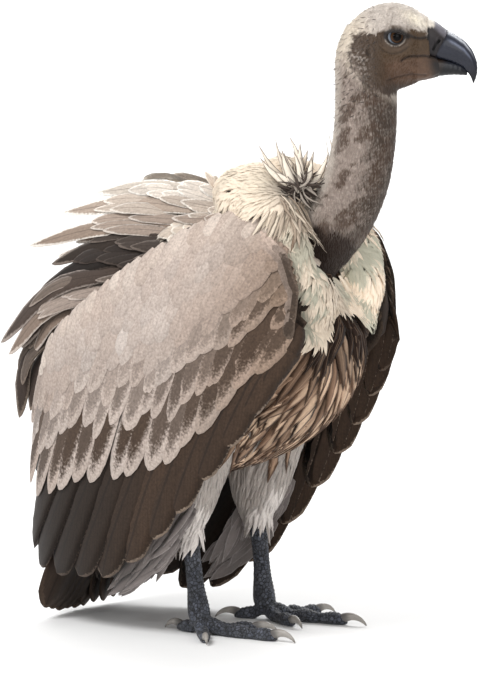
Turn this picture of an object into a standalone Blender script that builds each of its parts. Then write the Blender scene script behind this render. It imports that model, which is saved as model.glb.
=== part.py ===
"""White-backed vulture, standing, as a life-size museum model.

The bird faces +X, its left side is +Y and +Z is up. Metres throughout, but the head's own
sizes are in millimetres and in the head's own frame. Each named sub-part is one closed solid.
Neighbours are first modelled through each other and then parted by a thin gap.
"""

import math

import bmesh
import bpy
import numpy as np
from mathutils import Vector

# ---- driving dimensions ------------------------------------------------------------------
GAP = 0.00032  # clearance between two solids that meet
FEATHER_GAP = 0.0012  # the same round feathers, whose edges are sharp
FLAT_ANGLE = math.radians(1.2)  # faces closer than this in slope become one after a cut
RIGHT, LEFT = -1, 1
SIDES = {"right": RIGHT, "left": LEFT}

# Trunk: (top x, top z, bottom x, bottom z, half width), from the breast to the rump.
TRUNK = [
    (0.112, 0.385, 0.126, 0.340, 0.030),
    (0.090, 0.428, 0.138, 0.292, 0.062),
    (0.047, 0.450, 0.122, 0.243, 0.083),
    (0.000, 0.447, 0.085, 0.204, 0.093),
    (-0.045, 0.430, 0.030, 0.176, 0.096),
    (-0.090, 0.395, -0.030, 0.158, 0.091),
    (-0.125, 0.345, -0.090, 0.151, 0.077),
    (-0.150, 0.283, -0.133, 0.156, 0.056),
    (-0.165, 0.230, -0.158, 0.178, 0.026),
]

# Neck: (x, y, z, radius), from inside the breast up into the head.
NECK = [
    (0.055, 0.000, 0.380, 0.037),
    (0.092, 0.000, 0.408, 0.037),
    (0.124, 0.000, 0.441, 0.0365),
    (0.147, 0.000, 0.482, 0.0350),
    (0.157, 0.001, 0.528, 0.0335),
    (0.157, 0.004, 0.576, 0.0330),
    (0.153, 0.009, 0.612, 0.0325),
    (0.155, 0.014, 0.640, 0.0260),
]
NECK_CUTS = (0.500, 0.565)  # heights at which the neck is divided

# Head frame: origin midway between the eyes, turned to the bird's left.
HEAD_AT = Vector((0.1770, 0.0270, 0.6350))
HEAD_TURN = math.radians(35.0)
MM = 0.001

# Head stations in the head frame, mm: (top x, top z, bottom x, bottom z, half width).
HEAD = [
    (-57.5, -14.0, -57.0, -30.0, 7.0),
    (-54.0, -1.5, -53.0, -40.0, 15.5),
    (-43.5, 14.5, -43.5, -51.0, 23.5),
    (-26.0, 28.0, -26.0, -58.0, 28.0),
    (-6.0, 33.5, -6.0, -59.0, 29.0),
    (10.0, 31.5, 10.0, -55.5, 27.0),
    (22.0, 26.5, 22.0, -50.5, 22.5),
    (34.0, 19.3, 34.0, -46.6, 17.5),
]
CERE = [
    (34.4, 19.0, 34.4, -21.6, 16.4),
    (44.0, 12.0, 37.5, -22.3, 14.4),
    (53.4, 5.2, 40.4, -23.2, 12.6),
]
BILL_UPPER = [
    (53.9, 4.9, 40.9, -23.4, 12.5),
    (62.5, -0.2, 49.0, -25.8, 11.4),
    (72.0, -7.0, 57.5, -28.0, 9.9),
    (79.5, -16.0, 64.5, -30.8, 8.1),
    (84.2, -26.5, 70.5, -34.0, 6.2),
    (86.0, -36.0, 75.5, -39.3, 4.3),
    (84.8, -44.0, 79.2, -45.0, 2.5),
    (82.4, -50.5, 81.2, -50.5, 0.7),
]
BILL_LOWER = [
    (34.4, -22.4, 34.4, -46.3, 16.0),
    (48.0, -26.2, 46.7, -43.4, 11.6),
    (60.0, -29.7, 60.0, -42.2, 8.8),
    (69.0, -33.9, 69.5, -42.4, 6.2),
    (74.6, -39.6, 74.8, -42.6, 2.8),
]
EYE_RADIUS = 10.4  # mm
EYE_SIDE = 17.6  # mm from the mid-plane to an eye's centre
# Hollow round each eye and the brow over it: (x, z, reach along, reach up, depth in), mm.
EYE_HOLLOW = (0.0, -0.5, 13.0, 11.0, -4.6)
BROW = (4.0, 11.5, 14.0, 4.5, 2.4)

# Ruff, each half: (x, y of the left one, z, radius), from the nape of the back to the breast.
RUFF = [
    (0.022, -0.012, 0.455, 0.034),
    (0.034, 0.028, 0.459, 0.041),
    (0.064, 0.053, 0.448, 0.039),
    (0.094, 0.057, 0.416, 0.034),
    (0.113, 0.049, 0.374, 0.034),
    (0.117, 0.038, 0.330, 0.024),
]

# Wing chart, in side view: edges from the breast (share 0) back to the rump (share 1).
WING_TOP = [
    (0.128, 0.325),
    (0.131, 0.375),
    (0.116, 0.412),
    (0.084, 0.438),
    (0.045, 0.446),
    (-0.005, 0.420),
    (-0.060, 0.384),
    (-0.115, 0.344),
    (-0.165, 0.305),
    (-0.198, 0.245),
]
# The left wing hangs lower: by how much, and its middle and reach as shares across.
WING_DROOP, DROOP_AT, DROOP_REACH = {RIGHT: 0.0, LEFT: 0.038}, 0.68, 0.17
WING_BOTTOM = [
    (0.121, 0.312),
    (0.103, 0.272),
    (0.077, 0.231),
    (0.040, 0.180),
    (-0.003, 0.130),
    (-0.052, 0.082),
    (-0.105, 0.056),
    (-0.157, 0.052),
    (-0.211, 0.056),
    (-0.255, 0.088),
]
COVERT_END = [0.80, 0.72, 0.71, 0.77, 0.79, 0.73, 0.67, 0.66, 0.70, 0.58]
# The wing lies on a rounded cloak: its centre, half sizes and squareness in plan and height.
CLOAK_X, CLOAK_HALF_X, CLOAK_SQUARE_X = -0.030, 0.212, 2.5
CLOAK_Z, CLOAK_HALF_Z, CLOAK_SQUARE_Z = 0.230, 0.258, 2.6
CLOAK_HALF_Y = 0.134
ARM_THICK, QUILL_THICK, EDGE_THICK = 0.030, 0.011, 0.003
TIPS, PER_TIP = 9, 3  # rounded feather tips along a wing's edges, and columns to each
PRIMARY_SHARE = 0.645  # share of the wing's lower edge where the primaries begin
SEAM = 0.006  # gap between rows and groups of quills, as a share of the wing

# Scapular plumes, each side: root (x, y, z), middle and tip, half width.
PLUMES = [
    ((-0.018, 0.014, 0.450), (-0.089, 0.016, 0.460), (-0.170, 0.018, 0.450), 0.014),
    ((-0.024, 0.030, 0.440), (-0.107, 0.030, 0.444), (-0.209, 0.028, 0.427), 0.014),
    ((-0.030, 0.044, 0.424), (-0.137, 0.044, 0.418), (-0.242, 0.040, 0.391), 0.014),
    ((-0.044, 0.054, 0.412), (-0.124, 0.054, 0.404), (-0.206, 0.050, 0.375), 0.015),
    ((-0.058, 0.066, 0.396), (-0.142, 0.066, 0.382), (-0.212, 0.060, 0.350), 0.016),
    ((-0.076, 0.078, 0.378), (-0.178, 0.078, 0.356), (-0.258, 0.070, 0.290), 0.018),
    ((-0.088, 0.082, 0.364), (-0.180, 0.087, 0.334), (-0.240, 0.080, 0.280), 0.017),
    ((-0.120, 0.078, 0.340), (-0.212, 0.076, 0.286), (-0.236, 0.068, 0.212), 0.016),
]
MANTLE = [
    (0.012, 0.450, 0.020, 0.395, 0.028),
    (-0.012, 0.459, 0.010, 0.330, 0.070),
    (-0.060, 0.457, -0.020, 0.285, 0.098),
    (-0.105, 0.436, -0.060, 0.245, 0.101),
    (-0.150, 0.382, -0.100, 0.205, 0.092),
    (-0.178, 0.305, -0.130, 0.180, 0.070),
    (-0.182, 0.230, -0.150, 0.165, 0.036),
]

MANTLE_RIDGE = 1.25  # squareness of the mantle's back: near 1 it is a roof, 2 is round
# Scapular coat that carries the plumes: its depth over the mantle, and its reach (x and z).
SCAPULAR_DEPTH, SCAPULAR_REACH = 0.007, ((-0.132, 0.004), (0.335, 0.6))

# Tail fan: root and tip on the centre line, half widths there, sag of its sides.
TAIL_ROOT, TAIL_TIP = Vector((-0.140, 0, 0.205)), Vector((-0.206, 0, -0.0045))
TAIL_HALF_ROOT, TAIL_HALF_TIP = 0.034, 0.094
TAIL_QUILLS = 8
CRISSUM = [
    (-0.070, 0.190, -0.065, 0.150, 0.030),
    (-0.098, 0.185, -0.085, 0.122, 0.050),
    (-0.128, 0.160, -0.112, 0.090, 0.052),
    (-0.158, 0.110, -0.142, 0.056, 0.044),
    (-0.178, 0.060, -0.165, 0.030, 0.022),
]

# Leg: (x, y of the left one, z, half size along, half size across).
THIGH = [
    (0.022, 0.052, 0.262, 0.024, 0.022),
    (0.004, 0.058, 0.238, 0.044, 0.040),
    (-0.013, 0.064, 0.196, 0.045, 0.040),
    (-0.020, 0.066, 0.158, 0.038, 0.033),
    (-0.024, 0.065, 0.128, 0.029, 0.023),
    (-0.027, 0.064, 0.106, 0.016, 0.013),
]
# Loose feathers that trail from the back of each thigh: as a scapular plume.
FLAGS = [
    ((0.004, 0.084, 0.150), (-0.050, 0.090, 0.082), (-0.132, 0.080, 0.016), 0.021),
    ((-0.010, 0.072, 0.140), (-0.040, 0.072, 0.100), (-0.068, 0.068, 0.062), 0.018),
]
SHANK = [
    (-0.026, 0.063, 0.138, 0.0105),
    (-0.022, 0.063, 0.118, 0.0105),
    (-0.018, 0.062, 0.085, 0.0088),
    (-0.014, 0.061, 0.050, 0.0092),
    (-0.011, 0.060, 0.026, 0.0118),
    (-0.008, 0.060, 0.013, 0.0105),
    (-0.004, 0.060, 0.010, 0.0060),
]
ANKLE = Vector((-0.009, 0.060, 0.0125))
FOOT_YAW = {"right": math.radians(2.0), "left": math.radians(9.0)}
# Toe: angle outwards from the foot's own heading, length, radius, claw length.
TOES = {
    "inner": (math.radians(-36.0), 0.062, 0.0080, 0.026),
    "middle": (0.0, 0.096, 0.0084, 0.029),
    "outer": (math.radians(52.0), 0.066, 0.0076, 0.022),
    "hind": (math.radians(-166.0), 0.034, 0.0076, 0.027),
}
SOLE_CUT = 0.0006  # depth of each pad's flat

# ---- finishes: (colour, roughness) ---------------------------------------------------------
FINISHES = {
    "pale_down": ((0.86, 0.84, 0.78), 0.9),
    "grey_skin": ((0.42, 0.36, 0.32), 0.75),
    "slate_horn": ((0.10, 0.10, 0.13), 0.3),
    "dark_cere": ((0.12, 0.10, 0.10), 0.5),
    "eye": ((0.10, 0.06, 0.04), 0.08),
    "belly_feather": ((0.38, 0.28, 0.19), 0.8),
    "covert_feather": ((0.58, 0.51, 0.46), 0.8),
    "flight_feather": ((0.14, 0.11, 0.09), 0.7),
    "thigh_feather": ((0.50, 0.47, 0.45), 0.85),
    "scaly_skin": ((0.17, 0.18, 0.22), 0.6),
    "claw_horn": ((0.50, 0.48, 0.44), 0.35),
}


# ---- curves and rings ----------------------------------------------------------------------
def through(rows, count):
    """Catmull-Rom curve through rows of numbers, read at count even shares."""
    rows = np.asarray(rows, float)
    padded = np.vstack([2 * rows[0] - rows[1], rows, 2 * rows[-1] - rows[-2]])
    share = np.linspace(0, len(rows) - 1, count)
    low = np.minimum(share.astype(int), len(rows) - 2)
    f = (share - low)[:, None]
    p0, p1, p2, p3 = (padded[low + k] for k in range(4))
    bend = (2 * p0 - 5 * p1 + 4 * p2 - p3) * f**2 + (3 * p1 - p0 - 3 * p2 + p3) * f**3
    return 0.5 * (2 * p1 + (p2 - p0) * f + bend)


def at_share(rows, share):
    """Straight reading of rows of numbers at a share from 0 to 1."""
    rows = np.asarray(rows, float).reshape(len(rows), -1)
    places = np.linspace(0, 1, len(rows))
    return np.array([np.interp(share, places, column) for column in rows.T])


def oval(centre, side, up, count, square_up=2.0, square_down=2.0):
    """Closed ring round centre, with a squareness of its own above and below."""
    ring = []
    for k in range(count):
        turn = 2 * math.pi * k / count
        c, s = math.cos(turn), math.sin(turn)
        power = 2.0 / (square_up if s >= 0 else square_down)
        across = math.copysign(abs(c) ** power, c)
        ring.append(centre + side * across + up * math.copysign(abs(s) ** power, s))
    return ring


def station_rings(stations, rings, around, square_up=2.2, square_down=2.2):
    """Rings whose top and bottom lie in the XZ plane, through the given stations."""
    found = []
    for top_x, top_z, low_x, low_z, half in through(stations, rings):
        top, low = Vector((top_x, 0, top_z)), Vector((low_x, 0, low_z))
        up, side = (top - low) / 2, Vector((0, max(half, 1e-5), 0))
        found.append(oval((top + low) / 2, side, up, around, square_up, square_down))
    return found


def tube_rings(path, rings, around):
    """Rings square to a path of rows (x, y, z, radius) or (x, y, z, half along, half across)."""
    rows = through(path, rings)
    centres = [Vector(row[:3]) for row in rows]
    found = []
    for k, row in enumerate(rows):
        ahead = centres[min(k + 1, rings - 1)] - centres[max(k - 1, 0)]
        ahead.normalize()
        side = ahead.cross(Vector((0, 1, 0)))
        side.normalize()
        up = side.cross(ahead)
        along, across = row[3], row[-1]
        found.append(oval(centres[k], side * along, up * across, around))
    return found


# ---- making objects --------------------------------------------------------------------------
def material(finish):
    """The finish's material, made once."""
    made = bpy.data.materials.get(finish)
    if made is None:
        colour, roughness = FINISHES[finish]
        made = bpy.data.materials.new(finish)
        made.use_nodes = True
        shader = made.node_tree.nodes["Principled BSDF"]
        shader.inputs["Base Color"].default_value = (*colour, 1)
        shader.inputs["Roughness"].default_value = roughness
        shader.inputs["Metallic"].default_value = 0.0
    return made


def object_from(name, bm, finish):
    """A new object in the scene from a bmesh, its faces turned outwards."""
    bmesh.ops.remove_doubles(bm, verts=bm.verts, dist=1e-6)
    bmesh.ops.recalc_face_normals(bm, faces=bm.faces)
    mesh = bpy.data.meshes.new(name)
    bm.to_mesh(mesh)
    bm.free()
    mesh.materials.append(material(finish))
    made = bpy.data.objects.new(name, mesh)
    bpy.context.scene.collection.objects.link(made)
    return made


def lofted(name, rings, finish):
    """A closed solid through rings of equal count, bridged ring to ring and capped."""
    bm = bmesh.new()
    loops = []
    for ring in rings:
        verts = [bm.verts.new(point) for point in ring]
        loops.append([bm.edges.new(pair) for pair in zip(verts, verts[1:] + verts[:1])])
    for first, second in zip(loops, loops[1:]):
        bmesh.ops.bridge_loops(bm, edges=first + second)
    for end in (loops[0], loops[-1]):
        bmesh.ops.edgeloop_fill(bm, edges=end)
    bmesh.ops.triangulate(bm, faces=bm.faces)
    return object_from(name, bm, finish)


def ball(name, centre, radius, finish, segments=14):
    """A round solid."""
    bm = bmesh.new()
    bmesh.ops.create_uvsphere(
        bm, u_segments=segments, v_segments=segments // 2, radius=radius
    )
    bmesh.ops.translate(bm, verts=bm.verts, vec=centre)
    return object_from(name, bm, finish)


def block(low, high):
    """A plain box from corner to corner, used as a cutter."""
    bm = bmesh.new()
    bmesh.ops.create_cube(bm, size=1.0)
    low, high = Vector(low), Vector(high)
    bmesh.ops.scale(bm, vec=high - low, verts=bm.verts)
    bmesh.ops.translate(bm, vec=(low + high) / 2, verts=bm.verts)
    return object_from("cutter", bm, "pale_down")


def evaluated_bmesh(made):
    """The object's mesh as its modifiers leave it."""
    graph = bpy.context.evaluated_depsgraph_get()
    bm = bmesh.new()
    bm.from_object(made, graph)
    return bm


def keep_main_body(bm):
    """Drops every loose piece but the one with the most volume."""
    left, bodies = set(bm.verts), []
    while left:
        todo, body = [left.pop()], []
        while todo:
            vert = todo.pop()
            body.append(vert)
            for edge in vert.link_edges:
                other = edge.other_vert(vert)
                if other in left:
                    left.discard(other)
                    todo.append(other)
        bodies.append(body)

    def box_volume(body):
        points = np.array([v.co for v in body])
        return float(np.prod(points.max(0) - points.min(0)))

    main = max(bodies, key=box_volume)
    spare = [v for body in bodies if body is not main for v in body]
    bmesh.ops.delete(bm, geom=spare, context="VERTS")


def combined(made, other, operation):
    """Joins other to made, or cuts it away, and applies the result."""
    modifier = made.modifiers.new("boolean", "BOOLEAN")
    modifier.operation, modifier.object, modifier.solver = operation, other, "EXACT"
    bpy.context.view_layer.update()
    bm = evaluated_bmesh(made)
    made.modifiers.clear()
    bmesh.ops.triangulate(bm, faces=bm.faces)
    bmesh.ops.dissolve_degenerate(bm, dist=2e-5, edges=bm.edges)
    bmesh.ops.dissolve_limit(bm, angle_limit=FLAT_ANGLE, verts=bm.verts, edges=bm.edges)
    bmesh.ops.triangulate(bm, faces=bm.faces)
    keep_main_body(bm)
    bm.to_mesh(made.data)
    bm.free()
    bpy.data.objects.remove(other)


def swollen(made, by):
    """A copy of a solid, grown all over by a small amount."""
    bm = evaluated_bmesh(made)
    bm.normal_update()
    for vert in bm.verts:
        vert.co += vert.normal * by * vert.calc_shell_factor()
    return object_from("cutter", bm, "pale_down")


def part_from(made, *neighbours, gap=GAP):
    """Cuts a solid back from each neighbour, leaving the gap between them."""
    for neighbour in neighbours:
        combined(made, swollen(neighbour, gap), "DIFFERENCE")


def level_sole(made):
    """Cuts off whatever of a solid reaches below the floor."""
    combined(made, block((-0.6, -0.4, -0.05), (0.4, 0.4, 0.0)), "DIFFERENCE")


def mirrored(point, side):
    """A point of the left side, moved to the side asked for."""
    return Vector((point[0], point[1] * side, point[2]))


# ---- head --------------------------------------------------------------------------------------
def from_head(point):
    """A point in the head frame, in mm, as a place on the bird."""
    x, y, z = (value * MM for value in point)
    c, s = math.cos(HEAD_TURN), math.sin(HEAD_TURN)
    return HEAD_AT + Vector((c * x - s * y, s * x + c * y, z))


def swell(point, feature):
    """Moves a point of the head sideways, for a hollow or a brow."""
    x, z, reach_x, reach_z, depth = feature
    fall = math.exp(-(((point[0] - x) / reach_x) ** 2) - ((point[2] - z) / reach_z) ** 2)
    aside = max(-1.0, min(point[1] / 12.0, 1.0))
    return Vector((point[0], point[1] + depth * fall * aside, point[2]))


def head_part(name, stations, rings, around, finish, square=(2.2, 2.2), features=()):
    """A lofted piece of the head."""
    loft = station_rings(stations, rings, around, *square)
    for feature in features:
        loft = [[swell(point, feature) for point in ring] for ring in loft]
    return lofted(name, [[from_head(point) for point in ring] for ring in loft], finish)


def make_head():
    """Skull and face, cere, the two halves of the bill and the eyes."""
    head = head_part("head", HEAD, 12, 18, "grey_skin", (2.2, 2.1), (EYE_HOLLOW, BROW))
    head_part("cere", CERE, 4, 14, "dark_cere", (2.1, 4.0))
    head_part("bill_upper", BILL_UPPER, 11, 14, "slate_horn", (2.1, 3.6))
    head_part("bill_lower", BILL_LOWER, 6, 12, "slate_horn", (4.5, 2.1))
    for word, side in SIDES.items():
        centre = from_head((0, EYE_SIDE * side, 0))
        eye = ball(f"eye_{word}", centre, EYE_RADIUS * MM, "eye", 10)
        part_from(head, eye)
    return head


# ---- neck, trunk and ruff ------------------------------------------------------------------------
def make_neck(trunk, head):
    """The neck in three lengths, parted by level cuts."""
    heights = (0.0, *NECK_CUTS, 1.0)
    for k, name in enumerate(("neck_lower", "neck_middle", "neck_upper")):
        piece = lofted(name, tube_rings(NECK, 11, 14), "grey_skin")
        low, high = heights[k], heights[k + 1]
        combined(piece, block((-0.3, -0.2, -0.1), (0.4, 0.2, low + GAP / 2)), "DIFFERENCE")
        combined(piece, block((-0.3, -0.2, high - GAP / 2), (0.4, 0.2, 1.2)), "DIFFERENCE")
    part_from(bpy.data.objects["neck_lower"], trunk)
    part_from(bpy.data.objects["neck_upper"], head)
    return bpy.data.objects["neck_lower"]


def make_ruff(trunk, neck):
    """The down collar, as two halves that meet over the back."""
    halves = []
    for word, side in SIDES.items():
        path = [(x, y * side, z, r) for x, y, z, r in RUFF]
        half = lofted(f"ruff_{word}", tube_rings(path, 9, 12), "pale_down")
        across = sorted((-side * 0.3, side * GAP / 2))
        combined(half, block((-0.3, across[0], 0.1), (0.4, across[1], 0.7)), "DIFFERENCE")
        part_from(half, trunk, neck, bpy.data.objects["neck_middle"])
        halves.append(half)
    return halves


# ---- wings -----------------------------------------------------------------------------------------
def cloak_side(x, z):
    """How far out the folded wing lies at a place of its side view."""
    along = min(abs((x - CLOAK_X) / CLOAK_HALF_X), 0.995)
    tall = min(abs((z - CLOAK_Z) / CLOAK_HALF_Z), 0.995)
    plan = (1 - along**CLOAK_SQUARE_X) ** (1 / CLOAK_SQUARE_X)
    height = (1 - tall**CLOAK_SQUARE_Z) ** (1 / CLOAK_SQUARE_Z)
    return CLOAK_HALF_Y * plan * height


def wing_point(across, down, depth, side):
    """A place on the wing: across from breast to rump, down from top to tips, depth inwards."""
    x, z = at_share(WING_TOP, across) * (1 - down) + at_share(WING_BOTTOM, across) * down
    z -= down * WING_DROOP[side] * math.exp(-(((across - DROOP_AT) / DROOP_REACH) ** 2))
    return Vector((x, side * (cloak_side(x, z) - depth), z))


def scalloped(across, quills, depth):
    """How far a row of rounded feather tips falls short of its edge."""
    return depth * (1 - abs(math.sin(math.pi * quills * across)) ** 0.5)


def wing_slab(name, side, finish, shares, start, end, thick, rows):
    """A curved slab of the wing through shares across it, and from start down to end."""
    rings, last = [], len(shares) - 1
    for row in range(rows):
        t = row / (rows - 1)
        outer, inner = [], []
        for k, s in enumerate(shares):
            down = start(s) * (1 - t) + end(s) * t
            full = thick(down) * min(1.0, 0.25 + 5 * min(k, last - k) / last)
            outer.append(wing_point(s, down, 0, side))
            inner.append(wing_point(s, down, full, side))
        rings.append(outer + inner[::-1])
    return lofted(name, rings, finish)


def covert_end(across):
    """Where the coverts stop, as a share of the way down."""
    return float(at_share(COVERT_END, across)[0])


def covert_tips(across):
    """The coverts' lower edge with its rounded tips."""
    return covert_end(across) - scalloped(across, TIPS, 0.040)


def quill_tips(across):
    """The flight feathers' lower edge with its rounded tips."""
    return 1.0 - scalloped(across, TIPS, 0.055)


def arm_thick(down):
    """The wing's thickness over the arm, thinning towards the quills."""
    return ARM_THICK + (QUILL_THICK - ARM_THICK) * min(down / 0.6, 1.0)


def quill_thick(down):
    """The thickness of the flight feathers, thinning towards their tips."""
    return QUILL_THICK + (EDGE_THICK - QUILL_THICK) * max(0.0, (down - 0.55) / 0.45)


def make_wing(word, side, carriers):
    """One folded wing: coverts over the arm, then secondaries and primaries below them."""
    columns = [k / (TIPS * PER_TIP) for k in range(TIPS * PER_TIP + 1)]
    before, after = PRIMARY_SHARE - SEAM / 2, PRIMARY_SHARE + SEAM / 2
    inner = [s for s in columns if 0 < s < before] + [before]
    outer = [after] + [s for s in columns if s > after]
    quills = (lambda s: covert_tips(s) + SEAM, quill_tips, quill_thick, 4)
    rows = {
        "coverts": ("covert_feather", columns, lambda s: 0.0, covert_tips, arm_thick, 4),
        "secondaries": ("flight_feather", inner, *quills),
        "primaries": ("flight_feather", outer, *quills),
    }
    made = []
    for row, (finish, *rest) in rows.items():
        slab = wing_slab(f"wing_{word}_{row}", side, finish, *rest)
        part_from(slab, *carriers, gap=FEATHER_GAP)
        made.append(slab)
    return made


# ---- back, scapulars and tail ------------------------------------------------------------------------
def blade_rings(root, middle, tip, half, side, rings=6):
    """Rings of one long feather: widest past its middle, thin, with a rounded tip."""
    rows = through([mirrored(p, side) for p in (root, middle, tip)], rings)
    found = []
    for k, row in enumerate(rows):
        t = k / (rings - 1)
        ahead = Vector(rows[min(k + 1, rings - 1)] - rows[max(k - 1, 0)]).normalized()
        out = Vector((0, side * 0.75, 0.66)).normalized()
        across = ahead.cross(out).normalized()
        width = half * (0.35 + 0.65 * math.sin(math.pi * min(t / 1.3, 1.0))) * (1 - t**6) + 0.0012
        thick = 0.0040 * (1 - t) + 0.0012
        lift = across.cross(ahead)
        found.append(oval(Vector(row), across * width, lift * thick, 4))
    return found


def make_scapulars(word, side, mantle):
    """A coat over one side of the mantle, with the long loose plumes that grow from it."""
    (back, front), (low, high) = SCAPULAR_REACH
    half = sorted((side * GAP / 2, side * 0.3))
    coat = swollen(mantle, SCAPULAR_DEPTH)
    coat.name = f"scapulars_{word}"
    coat.data.materials[0] = material("covert_feather")
    combined(coat, block((back, half[0], low), (front, half[1], high)), "INTERSECT")
    for plume in PLUMES:
        combined(coat, lofted("blade", blade_rings(*plume, side), "covert_feather"), "UNION")
    other = sorted((-side * 0.3, side * GAP / 2))
    combined(coat, block((-0.5, other[0], 0.0), (0.3, other[1], 0.8)), "DIFFERENCE")
    return coat


def make_back(trunk, ruff):
    """The mantle over the back, and the loose scapular plumes on each side of it."""
    mantle = lofted("mantle", station_rings(MANTLE, 8, 14, MANTLE_RIDGE, 2.2), "covert_feather")
    made = [mantle]
    for word, side in SIDES.items():
        made.append(make_scapulars(word, side, mantle))
    for coat in made[1:]:
        part_from(coat, mantle, trunk, *ruff)
    part_from(mantle, trunk, *ruff)
    return made


def make_tail(carriers):
    """The tail fan, arched across and lying on the floor at its tips, and the down below it."""
    rings = []
    rows, columns = 5, 3 * TAIL_QUILLS + 1
    for row in range(rows):
        t = row / (rows - 1)
        top, low = [], []
        for k in range(columns):
            s = 2 * k / (columns - 1) - 1
            reach = t * (1 - 0.05 * s * s - scalloped((s + 1) / 2, TAIL_QUILLS, 0.035))
            centre = TAIL_ROOT.lerp(TAIL_TIP, reach)
            half = TAIL_HALF_ROOT + (TAIL_HALF_TIP - TAIL_HALF_ROOT) * reach
            sag = 0.020 * s * s * (1 - t)
            thick = (0.009 - 0.005 * t) * (1 - 0.75 * abs(s) ** 3)
            top.append(centre + Vector((-0.0015 + sag * 0.8, s * half, 0)))
            low.append(centre + Vector((-0.0015 + sag * 0.8 + thick, s * half, -thick * 0.35)))
        rings.append(top + low[::-1])
    tail = lofted("tail", rings, "flight_feather")
    level_sole(tail)
    part_from(tail, *carriers)
    return tail


# ---- legs ------------------------------------------------------------------------------------------------
def toe_rings(start, heading, length, radius, phalanges):
    """Rings of a toe that runs out and down onto the floor, swelling over each pad."""
    rings = []
    side = Vector((-heading.y, heading.x, 0))
    for t in [k / (2 * phalanges) for k in range(2 * phalanges)] + [0.95, 1.0]:
        pad = 0.5 - 0.5 * math.cos(2 * math.pi * phalanges * t)
        size = radius * (1.0 - 0.22 * t) * (0.82 + 0.18 * pad)
        size *= math.sqrt(max(1 - max(0.0, (t - 0.93) / 0.08) ** 2, 0.06))
        centre = start + heading * (length * t)
        rise = size - SOLE_CUT * pad
        drop = start.z + (rise - start.z) * min(1.0, t * 3.0)
        centre.z = max(rise, drop)
        rings.append(oval(centre, side * size, Vector((0, 0, size)), 8))
    return rings


def claw_rings(root, heading, length, radius):
    """Rings of a claw: a cone bent down through a quarter turn and more."""
    rings, count = [], 6
    bend = math.radians(78.0)
    side = Vector((-heading.y, heading.x, 0))
    reach = length / bend
    for k in range(count):
        t = k / (count - 1)
        turn = math.radians(24.0) - bend * t
        begin = math.radians(24.0)
        ahead = heading * math.cos(turn) + Vector((0, 0, math.sin(turn)))
        up = Vector((0, 0, math.cos(turn))) - heading * math.sin(turn)
        centre = root + heading * reach * (math.sin(begin) - math.sin(turn))
        centre = centre + Vector((0, 0, reach * (math.cos(turn) - math.cos(begin))))
        size = radius * (1 - t) ** 0.75 + 0.0005
        rings.append(oval(centre, side * size * 0.8, up * size, 7))
    return rings


def make_foot(word, side, shank):
    """Four toes from one ankle, each with its claw."""
    parted = [shank]
    pads = {"inner": 2, "middle": 3, "outer": 3, "hind": 1}
    for toe, (angle, length, radius, claw_length) in TOES.items():
        yaw = FOOT_YAW[word] + angle * side
        heading = Vector((math.cos(yaw), math.sin(yaw), 0))
        start = mirrored(ANKLE, side)
        piece = lofted(
            f"toe_{word}_{toe}",
            toe_rings(start, heading, length, radius, pads[toe]),
            "scaly_skin",
        )
        tip = start + heading * (length - 0.0035)
        tip.z = radius * 0.78 + 0.001
        claw = lofted(
            f"claw_{word}_{toe}",
            claw_rings(tip, heading, claw_length, radius * 0.56),
            "claw_horn",
        )
        level_sole(claw)
        part_from(piece, claw)
        level_sole(piece)
        part_from(piece, *parted)
        parted.append(piece)


def make_leg(word, side, trunk, neighbours):
    """Feathered thigh, bare shank and foot of one side."""
    path = [(x, y * side, z, along, across) for x, y, z, along, across in THIGH]
    thigh = lofted(f"thigh_{word}", tube_rings(path, 8, 12), "thigh_feather")
    bone = [(x, y * side, z, r) for x, y, z, r in SHANK]
    shank = lofted(f"shank_{word}", tube_rings(bone, 9, 10), "scaly_skin")
    for flag in FLAGS:
        combined(thigh, lofted("blade", blade_rings(*flag, side), "thigh_feather"), "UNION")
    part_from(thigh, shank, trunk, *neighbours)
    make_foot(word, side, shank)
    return thigh


# ---- assembly --------------------------------------------------------------------------------------------
def centre_on_floor():
    """Moves the whole bird so that its box stands centred on the origin, at floor level."""
    solids = [o for o in bpy.context.scene.objects if o.type == "MESH"]
    points = np.array([v.co for o in solids for v in o.data.vertices])
    low, high = points.min(0), points.max(0)
    shift = Vector((-(low[0] + high[0]) / 2, -(low[1] + high[1]) / 2, -low[2]))
    for made in solids:
        for vert in made.data.vertices:
            vert.co += shift


def main():
    """Builds the bird from its head and trunk outwards."""
    for old in list(bpy.data.objects):
        bpy.data.objects.remove(old)
    trunk = lofted("trunk", station_rings(TRUNK, 11, 18, 2.3, 2.2), "belly_feather")
    head = make_head()
    neck = make_neck(trunk, head)
    ruff = make_ruff(trunk, neck)
    crissum = lofted("undertail_coverts", station_rings(CRISSUM, 6, 12), "thigh_feather")
    part_from(crissum, trunk)
    thighs = [make_leg(word, side, trunk, [crissum]) for word, side in SIDES.items()]
    back = make_back(trunk, ruff)
    carriers = [trunk, crissum, *ruff, *thighs, *back]
    wings = []
    for word, side in SIDES.items():
        wings += make_wing(word, side, carriers)
    make_tail([trunk, crissum, *wings, back[0]])
    for made in bpy.context.scene.objects:
        made.data.shade_smooth()
        made.data.set_sharp_from_angle(angle=math.radians(50))
    centre_on_floor()


if __name__ == "__main__":
    main()
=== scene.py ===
"""White-backed vulture, standing at rest: skin, plumage, bill, eyes and claws over its solids.

The bird faces +X, its left side is +Y and +Z is up. Sizes are in metres, and those of the head
in millimetres in its own frame. One skin runs from the face to the toes. Feathers and down are
closed vanes and tufts that follow the lie of the plumage over it.
"""

import logging
import math
from collections.abc import Callable, Iterator, Sequence
from contextlib import contextmanager
from dataclasses import dataclass, field
from enum import IntEnum
from functools import cache
from itertools import product

import bmesh
import bpy
import numpy as np
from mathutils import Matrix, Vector
from mathutils.bvhtree import BVHTree
from mathutils.kdtree import KDTree


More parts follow.
